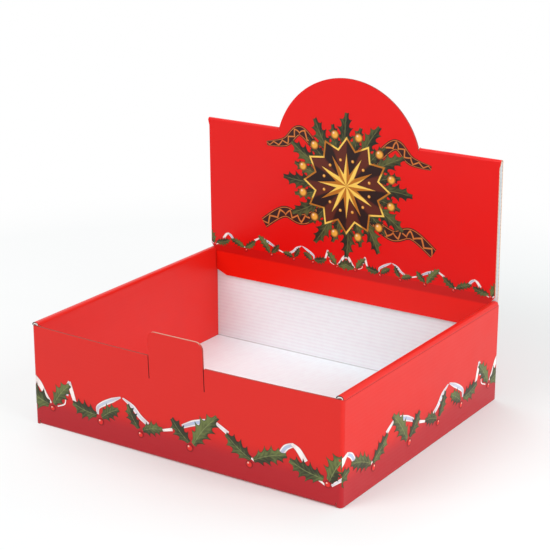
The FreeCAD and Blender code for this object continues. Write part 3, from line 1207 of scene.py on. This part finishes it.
    def round_creases(self) -> None:
        """Rounds each crease to its own radius."""
        s = self.sizes
        top = s.wall + s.header / 2

        def corner(p: Vector) -> bool:
            """Tells the upright creases at the front corners."""
            return abs(p.x) > s.half_width - s.board and p.y < self.front + TOUCH and p.z < s.wall

        groups = (
            (s.header_fold, lambda p: p.z > top),
            (s.corner, corner),
            (s.fold, lambda p: p.z < top and not corner(p)),
        )
        for radius, test in groups:
            self.bench.select_creases(test)
            bpy.ops.mesh.bevel(
                offset=radius, offset_type="OFFSET", segments=self.bend_steps, profile=0.5,
                affect="EDGES", clamp_overlap=False)

    def lengthen_roll(self) -> None:
        """Brings the rolled tops forward over the rounded front corners."""
        s, bench = self.sizes, self.bench
        start = self.front + self.ply_start - s.half_width
        bench.select(Part.EDGES, lambda p: abs(p.y - start) < TOUCH and p.z > s.wall
                     and abs(p.x) > s.half_width - 2 * s.side_thickness)
        reach = self.front + s.roll_setback - start
        bpy.ops.mesh.extrude_region_move(TRANSFORM_OT_translate={"value": (0, reach, 0)})

    def score_roll(self) -> None:
        """Presses the score line along the outer foot of each roll."""
        s = self.sizes
        height = s.wall - self.score_drop

        def outer(p: Vector) -> bool:
            """Tells the outer side of the side walls."""
            return abs(p.x) > s.half_width - TOUCH

        self.bench.slice(2, [height], lambda p: outer(p) and p.y > self.front + s.corner)
        self.bench.select(Part.EDGES, lambda p: outer(p) and abs(p.z - height) < TOUCH)
        bpy.ops.mesh.bevel(offset=self.score_width, segments=2, profile=0.5, affect="EDGES")
        for sign in (-1, 1):
            self.bench.select(Part.VERTS, lambda p: abs(p.x - s.half_width * sign) < TOUCH
                         and abs(p.z - height) < TOUCH)
            bpy.ops.transform.translate(value=(-self.score_depth * sign, 0, 0))

    def bow_front(self) -> None:
        """Bows the front wall and its tab out."""
        s, bench = self.sizes, self.bench
        with editing(bench.piece) as shape:
            flat = shape.verts.layers.float_vector["flat"]
            for vert in shape.verts:
                u, v = vert[flat].x, vert[flat].y
                if abs(u) < s.panel_end and v < self.wall_foot:
                    vert.co.y -= s.bow_at(u, vert.co.z)


@dataclass(frozen=True)
class Leaf:
    """One printed leaf, from its base to its tip, in millimetres on the pattern."""

    base: Point
    tip: Point
    width: float
    tone: float = 0.4
    spines: int = 3
    lift: float = 0.0
    half_share: float = 0.68
    scoop_depth: float = 0.5
    taper: float = 0.15
    spine_reach: float = 0.07
    bend: float = 0.05


@dataclass(frozen=True)
class Ribbon:
    """One printed length of ribbon, in millimetres on the pattern."""

    points: tuple[Point, ...]
    widths: tuple[float, ...]
    tone: float = 0.0


@dataclass(frozen=True)
class Ball:
    """One printed berry or bauble, in millimetres on the pattern."""

    centre: Point
    radius: float


@dataclass(frozen=True)
class Star:
    """One printed star, whose valleys lie at a share of its radius, in millimetres."""

    radius: float
    waist: float
    lift: float


class Master:
    """The shapes that every motif is a bent copy of: a strip and a round."""

    def __init__(self) -> None:
        """Makes both, as flat meshes between -1 and 1."""
        bpy.ops.object.select_all(action="DESELECT")
        bpy.ops.mesh.primitive_grid_add(x_subdivisions=40, y_subdivisions=4, size=2)
        self.strip = bpy.context.object
        bpy.ops.object.select_all(action="DESELECT")
        bpy.ops.mesh.primitive_circle_add(vertices=ROUND_SIDES, radius=1, fill_type="TRIFAN")
        self.round = bpy.context.object

    def clear(self) -> None:
        """Takes both away."""
        pick(self.strip, self.round)
        bpy.ops.object.delete()


class Plate:
    """One ink's motifs, drawn flat: x and y in millimetres on the pattern and z the lift."""

    def __init__(self, name: str, master: Master, finish: bpy.types.Material) -> None:
        """Starts an empty plate.

        Args:
            name: The name that its prints start with.
            master: The shapes to copy.
            finish: The ink.
        """
        self.name = name
        self.master = master
        self.finish = finish
        self.copies: list[bpy.types.Object] = []
        self.piece: bpy.types.Object | None = None

    def stamp(self, shape: bpy.types.Object, place: Callable[[float, float], Point],
              lift: float, tone: float = 0.0) -> None:
        """Adds one copy of a master, bent to its place.

        Args:
            shape: The master to copy.
            place: Gives the place on the pattern for a place on the master.
            lift: How far above the board the copy lies, in millimetres.
            tone: A number that the finish reads.
        """
        copy = shape.copy()
        copy.data = shape.data.copy()
        bpy.context.scene.collection.objects.link(copy)
        for vert in copy.data.vertices:
            vert.co = (*place(vert.co.x, vert.co.y), lift)
        values = copy.data.attributes.new("tone", "FLOAT", "POINT").data
        values.foreach_set("value", [tone] * len(values))
        self.copies.append(copy)

    def leaf(self, leaf: Leaf) -> None:
        """Adds a leaf whose edge is scooped between its spines.

        Args:
            leaf: The leaf.
        """
        run = (leaf.tip[0] - leaf.base[0], leaf.tip[1] - leaf.base[1])
        length = math.hypot(*run)
        along = (run[0] / length, run[1] / length)

        def place(x: float, y: float) -> Point:
            """Bends the strip into the leaf.

            Args:
                x: Place along the strip.
                y: Place across the strip.

            Returns:
                The place on the pattern.
            """
            part = (x + 1) / 2
            scoop = math.sin(math.pi * (part * (leaf.spines + 1) % 1)) ** 0.7
            belly = math.sin(math.pi * min(part * 0.94 + 0.03, 1)) ** 0.6
            half = leaf.width * leaf.half_share * belly
            half *= (1 - leaf.scoop_depth * scoop) * (1 - leaf.taper * part)
            ahead = part * length + leaf.spine_reach * length * abs(y) * (1 - scoop) * belly
            side = y * half + leaf.bend * length * math.sin(math.pi * part)
            return (leaf.base[0] + along[0] * ahead - along[1] * side,
                    leaf.base[1] + along[1] * ahead + along[0] * side)

        self.stamp(self.master.strip, place, LEAF_LIFT + leaf.lift, leaf.tone)

    def ribbon(self, ribbon: Ribbon, lift: float = RIBBON_LIFT) -> None:
        """Adds a ribbon that curves through its points.

        Args:
            ribbon: The ribbon.
            lift: How far above the board it lies, in millimetres.
        """
        points, widths = ribbon.points, ribbon.widths
        last = len(points) - 1

        def at(part: float) -> tuple[Vector, float]:
            """Follows the ribbon.

            Args:
                part: A share of its length.

            Returns:
                The place there, and half the width.
            """
            step = min(int(part * last), last - 1)
            rest = part * last - step
            ends = [Vector(points[min(max(step + k, 0), last)]) for k in (-1, 0, 1, 2)]
            spot = (ends[1] * 2 + (ends[2] - ends[0]) * rest
                    + (ends[0] * 2 - ends[1] * 5 + ends[2] * 4 - ends[3]) * rest ** 2
                    + (ends[1] * 3 - ends[0] - ends[2] * 3 + ends[3]) * rest ** 3) / 2
            return spot, (widths[step] * (1 - rest) + widths[step + 1] * rest) / 2

        def place(x: float, y: float) -> Point:
            """Bends the strip along the points.

            Args:
                x: Place along the strip.
                y: Place across the strip.

            Returns:
                The place on the pattern.
            """
            part = (x + 1) / 2
            spot, half = at(part)
            ahead = (at(min(part + 0.01, 1.0))[0] - at(max(part - 0.01, 0.0))[0]).normalized()
            return (spot.x - ahead.y * half * y, spot.y + ahead.x * half * y)

        self.stamp(self.master.strip, place, lift, ribbon.tone)

    def ball(self, ball: Ball, lift: float = BALL_LIFT) -> None:
        """Adds a round ball.

        Args:
            ball: The ball.
            lift: How far above the board it lies, in millimetres.
        """
        self.stamp(
            self.master.round,
            lambda x, y: (ball.centre[0] + x * ball.radius, ball.centre[1] + y * ball.radius),
            lift)

    def star(self, centre: Point, star: Star) -> None:
        """Adds a star of twelve points.

        Args:
            centre: Its centre.
            star: Its sizes.
        """
        def place(x: float, y: float) -> Point:
            """Draws every second corner of the round in.

            Args:
                x: Place across the round.
                y: Place up the round.

            Returns:
                The place on the pattern.
            """
            corner = round(math.atan2(x, y) / (2 * math.pi) * ROUND_SIDES) if x or y else 0
            reach = star.radius * (star.waist if corner % 2 else 1.0)
            return (centre[0] + x * reach, centre[1] + y * reach)

        self.stamp(self.master.round, place, star.lift)

    def finish_plate(self) -> None:
        """Joins the copies into one flat piece."""
        pick(*self.copies)
        bpy.ops.object.join()
        self.piece = bpy.context.object
        self.piece.name = self.name
        self.piece.data.materials.clear()
        self.piece.data.materials.append(self.finish)

    def clear(self) -> None:
        """Takes the flat piece away."""
        pick(self.piece)
        bpy.ops.object.delete()


@dataclass(frozen=True)
class Spot:
    """One surface that a pattern is printed on."""

    name: str
    low: float
    high: float
    mirrored: bool
    wrap: Callable[[float, float, float], Place]


@dataclass
class Printer:
    """Lays flat plates on the board's surfaces."""

    sizes: Sizes
    side_pattern: float = 264.0
    header_scale: float = 0.5
    header_drop: float = 2.0
    end_gap: float = 0.5
    ink: float = 0.03 * MM
    trim_reach: float = 1e-5

    def front(self, across: float, height: float, lift: float) -> Place:
        """Gives the place on the front, round its corners and on its sides.

        Args:
            across: Distance from the middle of the front, along the board.
            height: Height above the surface that the tray stands on.
            lift: Distance off the board.

        Returns:
            The place in the part's frame.
        """
        s = self.sizes
        sign = math.copysign(1.0, across)
        beyond = abs(across) - (s.half_width - s.corner)
        arc = s.corner * QUARTER
        if beyond <= 0:
            return (across, -s.half_depth - s.bow_at(across, height) - lift, height)
        if beyond < arc:
            turn, reach = beyond / s.corner, s.corner + lift
            return (sign * (s.half_width - s.corner + reach * math.sin(turn)),
                    -s.half_depth + s.corner - reach * math.cos(turn), height)
        return (sign * (s.half_width + lift), -s.half_depth + s.corner + beyond - arc, height)

    def side(self, sign: int, back: float, height: float, lift: float) -> Place:
        """Gives the place on a side, by its distance back from the corner's edge.

        Args:
            sign: 1 for the right side and -1 for the left.
            back: Distance back from the corner's edge.
            height: Height above the surface that the tray stands on.
            lift: Distance off the board.

        Returns:
            The place in the part's frame.
        """
        s = self.sizes
        start = s.half_width - s.corner + s.corner * QUARTER
        return self.front(sign * (start + back - s.corner), height, lift)

    def header(self, across: float, height: float, lift: float) -> Place:
        """Gives the place on the header's face, by its height above the tray's back wall."""
        return self.sizes.on_header(across, height, self.sizes.header_gap + lift)

    def garland_spots(self) -> list[Spot]:
        """Gives the surfaces that carry the garland.

        Returns:
            One for each print of it.
        """
        s = self.sizes
        wide, side = s.half_width / MM, s.ply_length / MM - self.end_gap
        seam = s.corner * (1 - QUARTER / 2) / MM
        half = (s.header_half - s.header_trim) / MM - self.end_gap

        def head(sign: int) -> Callable[[float, float, float], Place]:
            """Gives the wrap for one half of the header."""
            scale, drop = self.header_scale * MM, self.header_drop * MM
            return lambda p, z, lift: self.header(sign * p * scale, z * scale - drop, lift)

        return [
            Spot("front", seam, 2 * wide - seam, False,
                 lambda p, z, lift: self.front((p - wide) * MM, z * MM, lift)),
            Spot("left", seam, side, True,
                 lambda p, z, lift: self.side(-1, p * MM, z * MM, lift)),
            Spot("right", self.side_pattern - side, self.side_pattern - seam, True,
                 lambda p, z, lift: self.side(1, (self.side_pattern - p) * MM, z * MM, lift)),
            Spot("header_right", 0.0, half / self.header_scale, False, head(1)),
            Spot("header_left", 0.0, half / self.header_scale, True, head(-1)),
        ]

    def rosette_spots(self) -> list[Spot]:
        """Gives the surface that carries the rosette.

        Returns:
            That surface alone.
        """
        wide = self.sizes.header_half / MM
        return [Spot("header", -wide, wide, False,
                     lambda p, z, lift: self.header(p * MM, z * MM, lift))]

    def run(self, plates: tuple[Plate, ...], spots: list[Spot], slot: str) -> None:
        """Prints some finished drawings, one after another, and takes the drawings away.

        Args:
            plates: The drawings, from the lowest ink up.
            spots: The surfaces that carry them.
            slot: Not used.
        """
        for plate in plates:
            plate.finish_plate()
            self.lay(plate, spots)
            plate.clear()

    def lay(self, plate: Plate, spots: list[Spot]) -> None:
        """Lays a plate on each of some surfaces, trimmed to their edges.

        Args:
            plate: The plate to print.
            spots: The surfaces.
        """
        for spot in spots:
            piece = plate.piece.copy()
            piece.data = plate.piece.data.copy()
            piece.name = f"{plate.name}_{spot.name}"
            bpy.context.scene.collection.objects.link(piece)
            pick(piece)
            bpy.ops.object.mode_set(mode="EDIT")
            for place, side in ((spot.low, 1.0), (spot.high, -1.0)):
                bpy.ops.mesh.select_all(action="SELECT")
                bpy.ops.mesh.bisect(
                    plane_co=(place, 0, 0), plane_no=(side, 0, 0), clear_inner=True,
                    threshold=self.trim_reach)
            if spot.mirrored:
                bpy.ops.mesh.select_all(action="SELECT")
                bpy.ops.mesh.flip_normals()
            bpy.ops.object.mode_set(mode="OBJECT")
            for vert in piece.data.vertices:
                vert.co = spot.wrap(vert.co.x, vert.co.y, vert.co.z * MM)
            apply_modifier(piece, "SOLIDIFY", thickness=self.ink, offset=-1)
            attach(piece, "root")
            log.info("%s: %d faces", piece.name, len(piece.data.polygons))


@dataclass(frozen=True)
class Garland:
    """The holly garland along the foot of the walls, measured from its left end."""

    leaves: tuple[Leaf, ...] = (
        Leaf((16, 21), (-14, 33), 21, 0.5),
        Leaf((21, 22), (39, 43), 14, 0.8),
        Leaf((67, 23), (42, 28), 15, 0.3, lift=0.04),
        Leaf((72, 22), (90, 33), 13, 0.5),
        Leaf((110, 21), (100, 40), 11, 0.15, lift=0.04),
        Leaf((114, 20.5), (134, 26), 12, 0.45),
        Leaf((160, 21), (144, 38), 13, 0.1, lift=0.04),
        Leaf((164, 20), (188, 49), 16, 0.9, 4),
        Leaf((218.5, 21), (196, 37), 14, 0.35),
        Leaf((221, 21), (251, 32), 14, 0.55, 4, lift=0.04),
        Leaf((284, 21), (254, 29), 15, 0.4, 4),
        Leaf((289, 20), (303, 43), 19, 0.6),
    )
    berries: tuple[Ball, ...] = (
        Ball((19.5, 18), 2.8), Ball((70.7, 17.8), 3.2), Ball((111.7, 16.3), 2.9),
        Ball((160.4, 16.5), 3.4), Ball((217, 16.4), 3.3), Ball((287.7, 17.3), 3.0),
    )
    ribbons: tuple[Ribbon, ...] = (
        Ribbon(((0, 41.5), (6, 37), (12, 29), (18, 22.5)), (7, 6, 4, 1.5)),
        Ribbon(((35.5, 33), (36.6, 40), (39.5, 46)), (3.4, 4.2, 3.6), 0.7),
        Ribbon(((38.6, 46), (41.3, 37), (44.5, 27.5)), (4.0, 4.4, 3.4)),
        Ribbon(((25, 21), (32.5, 24.5), (34, 29)), (1, 1.2, 1)),
        Ribbon(((68, 24), (68.5, 30), (75, 35), (84, 40), (93, 44.5)), (2, 4, 4.8, 4.4, 1.2), 0.7),
        Ribbon(((95, 44.5), (105, 39), (112, 32), (120, 27)), (1.2, 4.6, 4.6, 4), 0.5),
        Ribbon(((133, 25), (144, 28.5)), (2, 3)),
        Ribbon(((154, 33.5), (164, 38.5), (172, 41.5), (177, 43.5)), (3.5, 5.2, 5.2, 4), 0.9),
        Ribbon(((177, 44), (183, 45)), (1.8, 1.4)),
        Ribbon(((187, 44), (198, 38)), (3, 4.2), 0.3),
        Ribbon(((217.5, 23), (221.5, 20.5)), (1.8, 1.6)),
        Ribbon(((256, 43), (262, 39), (268, 31)), (2.4, 5, 5.4)),
        Ribbon(((245, 30), (250.5, 38.5), (258, 42.6)), (5.4, 5.2, 3.4), 0.9),
        Ribbon(((280, 19), (286, 16)), (2, 1.6)),
        Ribbon(((291, 17), (300, 24)), (2.2, 3), 0.4),
    )

    leaf_colours: tuple[Colour, ...] = (
        shade(50, 52, 34), shade(106, 118, 64), shade(138, 146, 92))
    berry_colours: tuple[Colour, ...] = (shade(226, 40, 34), shade(120, 14, 18))
    overlap: float = 0.04

    def build(self, master: Master, inks: InkFinishes, printer: Printer) -> None:
        """Draws the garland once and prints it on every surface that carries it.

        Args:
            master: The shapes to copy.
            inks: The finishes of the inks.
            printer: What lays the plates on the board.
        """
        ribbons = Plate("garland_ribbon", master, inks.ribbon())
        leaves = Plate("garland_leaf", master, inks.leaf("garland_leaf", *self.leaf_colours))
        berries = Plate("garland_berry", master, inks.ball("garland_berry", *self.berry_colours))
        for index, ribbon in enumerate(self.ribbons):
            ribbons.ribbon(ribbon, RIBBON_LIFT + self.overlap * (index % 2))
        for leaf in self.leaves:
            leaves.leaf(leaf)
        for berry in self.berries:
            berries.ball(berry)
        printer.run((ribbons, leaves, berries), printer.garland_spots(), "garland_print")


@dataclass(frozen=True)
class Rosette:
    """The round star design in the middle of the header, with sprigs, baubles and tails."""

    centre: Point = (0.0, 84.0)
    sprigs: int = 24
    sprig_foot: float = 28
    sprig_spines: int = 4
    long_sprig: tuple[float, float, float] = (66, 14, 0.04)
    short_sprig: tuple[float, float, float] = (56, 11, 0.0)
    sprig_tones: tuple[float, ...] = (0.15, 0.55, 0.55)
    tails: tuple[Ribbon, ...] = (
        Ribbon(((20, 60), (46, 46), (66, 50), (88, 36)), (9, 11, 11, 10)),
        Ribbon(((26, 108), (48, 128), (64, 116), (84, 112)), (8, 10, 9, 4)),
    )
    stars: tuple[tuple[str, Star], ...] = (
        ("gold", Star(45, 0.76, 0.29)), ("dark", Star(42.4, 0.76, 0.33)),
        ("gold", Star(30, 0.36, 0.37)),
    )
    baubles: int = 12
    bauble_rings: tuple[Point, ...] = ((47, 4.2), (24, 1.6))
    leaf_colours: tuple[Colour, ...] = (shade(32, 34, 24), shade(92, 98, 52), shade(124, 126, 76))
    gold_colours: tuple[Colour, ...] = (shade(248, 206, 92), shade(184, 112, 30))
    dark_colours: tuple[Colour, ...] = (shade(92, 36, 22), shade(36, 16, 14))
    bauble_colours: tuple[Colour, ...] = (shade(240, 176, 66), shade(140, 66, 22))

    def around(self, count: int, index: float, reach: float) -> Point:
        """Gives a place round the centre."""
        turn = 2 * math.pi * index / count
        return (self.centre[0] + reach * math.sin(turn), self.centre[1] + reach * math.cos(turn))

    def build(self, master: Master, inks: InkFinishes, printer: Printer) -> None:
        """Draws the rosette and prints it on the header.

        Args:
            master: The shapes to copy.
            inks: The finishes of the inks.
            printer: What lays the plates on the board.
        """
        finishes = {
            "ribbon": inks.tail(),
            "leaf": inks.leaf("rosette_leaf", *self.leaf_colours),
            "gold": inks.foil("rosette_gold", *self.gold_colours),
            "dark": inks.foil("rosette_dark", *self.dark_colours),
            "bauble": inks.ball("rosette_bauble", *self.bauble_colours),
        }
        plates = {name: Plate(f"rosette_{name}", master, finish)
                  for name, finish in finishes.items()}
        for sign in (-1, 1):
            for tail in self.tails:
                points = tuple((sign * x, z) for x, z in tail.points)
                plates["ribbon"].ribbon(Ribbon(points, tail.widths))
        for index in range(self.sprigs):
            reach, width, lift = self.short_sprig if index % 2 else self.long_sprig
            plates["leaf"].leaf(Leaf(
                self.around(self.sprigs, index, self.sprig_foot),
                self.around(self.sprigs, index, reach),
                width, self.sprig_tones[index % 3], self.sprig_spines, lift))
        for name, star in self.stars:
            plates[name].star(self.centre, star)
        for index in range(self.baubles):
            for reach, radius in self.bauble_rings:
                centre = self.around(self.baubles, index + 0.5, reach)
                plates["bauble"].ball(Ball(centre, radius), BAUBLE_LIFT)
        printer.run(tuple(plates.values()), printer.rosette_spots(), "medallion_print")


@dataclass(frozen=True)
class Lamp:
    """One square area light that looks at the stand: its place, side and power in watts."""

    name: str
    place: Place
    size: float
    power: float


@dataclass(frozen=True)
class Studio:
    """The camera, floor and light round the stand."""

    camera_at: Place = (0.73206, -1.11441, 0.55705)
    azimuth: float = math.radians(33.11)
    elevation: float = math.radians(18.05)
    roll: float = math.radians(0.06)
    lens: float = 109.895
    sensor: float = 36.0
    sight: float = 50.0
    floor_half: float = 5.0
    floor_gap: float = 0.2 * MM
    floor_roughness: float = 0.75
    floor_pale: Colour = (0.81, 0.85, 0.85, 1.0)
    white: Colour = (1.0, 1.0, 1.0, 1.0)
    white_near: float = 0.26
    white_far: float = 0.75
    # Painted light on the floor left of the stand, over its shadow.
    left_near: float = 0.05
    left_far: float = -0.2
    left_painted_light: float = 0.75
    room_light: float = 0.62
    lit_point: Place = (0.0, 0.0, 0.1)
    lamps: tuple[Lamp, ...] = (
        Lamp("front", (-0.65, -1.5, 1.35), 1.1, 13.5),
        Lamp("right", (1.45, -0.2, 1.1), 1.0, 19.5),
        Lamp("left", (-0.9, 0.7, 1.5), 0.8, 3.0),
    )

    def build(self) -> None:
        """Sets up the camera, the floor, the lights and the world."""
        bpy.context.scene.view_settings.view_transform = "Standard"
        self.aim_camera()
        self.lay_floor()
        for lamp in self.lamps:
            self.hang(lamp)
        self.light_world()

    def aim_camera(self) -> None:
        """Places the camera that matches the photographed view."""
        data = bpy.data.cameras.new("camera")
        camera = bpy.data.objects.new("camera", data)
        bpy.context.scene.collection.objects.link(camera)
        back = Vector((
            math.sin(self.azimuth) * math.cos(self.elevation),
            -math.cos(self.azimuth) * math.cos(self.elevation),
            math.sin(self.elevation)))
        right = Vector((0, 0, 1)).cross(back).normalized()
        turned = Matrix((right, back.cross(right), back)).transposed().to_4x4()
        camera.matrix_world = (
            Matrix.Translation(self.camera_at) @ turned @ Matrix.Rotation(self.roll, 4, "Z"))
        data.lens = self.lens
        data.sensor_width = self.sensor
        data.clip_end = self.sight
        bpy.context.scene.camera = camera

    def lay_floor(self) -> None:
        """Lays the pale floor."""
        bpy.ops.object.select_all(action="DESELECT")
        bpy.ops.mesh.primitive_plane_add(
            size=2 * self.floor_half, location=(0, 0, -self.floor_gap))
        floor = bpy.context.object
        floor.name = "floor"
        floor.data.materials.append(self.floor_finish())

    def floor_finish(self) -> bpy.types.Material:
        """Gives a matt pale floor, which the camera sees as plain white away from the stand, and
        as a painted light over the stand's shadow on its left.

        Returns:
            The finish.
        """
        shader = Shader("floor", self.floor_roughness)
        shader.surface.inputs["Base Color"].default_value = self.floor_pale
        place = shader.step("ShaderNodeTexCoord", {}, {}, output=3)
        reach = shader.step("ShaderNodeVectorMath", {"operation": "LENGTH"}, {0: place}, output=1)
        across, _, _ = shader.split(place)
        # Painted light: left of the stand the camera sees the floor mixed towards glowing white,
        # lifting the stand's shadow there.
        left = across.ramp(self.left_near, self.left_far) * self.left_painted_light
        away = reach.ramp(self.white_near, self.white_far).most(left) * shader.seen_white()
        white = shader.step("ShaderNodeEmission", {}, {0: self.white, 1: 1.0})
        surface = Wire(shader, shader.surface.outputs[0])
        mixed = shader.step("ShaderNodeMixShader", {}, {0: away, 1: surface, 2: white})
        output = shader.tree.nodes["Material Output"]
        shader.tree.links.new(mixed.socket, output.inputs["Surface"])
        return shader.material

    def hang(self, lamp: Lamp) -> None:
        """Hangs one light.

        Args:
            lamp: The light.
        """
        data = bpy.data.lights.new(lamp.name, "AREA")
        data.size = lamp.size
        data.energy = lamp.power
        light = bpy.data.objects.new(lamp.name, data)
        bpy.context.scene.collection.objects.link(light)
        light.location = lamp.place
        towards = Vector(self.lit_point) - Vector(lamp.place)
        light.rotation_euler = towards.to_track_quat("-Z", "Y").to_euler()

    def light_world(self) -> None:
        """Gives the room an even white light."""
        world = bpy.data.worlds.new("room")
        world.use_nodes = True
        nodes = Nodes(world.node_tree)
        lit = nodes.step("ShaderNodeBackground", {}, {0: self.white, 1: self.room_light})
        seen = nodes.step("ShaderNodeBackground", {}, {0: self.white, 1: 1.0})
        mixed = nodes.step("ShaderNodeMixShader", {}, {0: nodes.seen_white(), 1: lit, 2: seen})
        output = nodes.tree.nodes["World Output"]
        nodes.tree.links.new(mixed.socket, output.inputs["Surface"])
        bpy.context.scene.world = world


def main() -> None:
    """Builds the stand and its stage, and reports each piece."""
    logging.basicConfig(level=logging.INFO, format="%(name)s: %(message)s")
    sizes = Sizes(half_width=cad_box[1][0])
    sheet = FoldedSheet(sizes, BoardFinishes(sizes).build(), Bench("folded_sheet")).build()
    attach(sheet, "root")
    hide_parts(NODE)
    log.info("%s: %d faces", sheet.name, len(sheet.data.polygons))
    master = Master()
    printer = Printer(sizes)
    Garland().build(master, InkFinishes(), printer)
    Rosette().build(master, InkFinishes(), printer)
    master.clear()
    Studio().build()


if __name__ == "__main__":
    main()
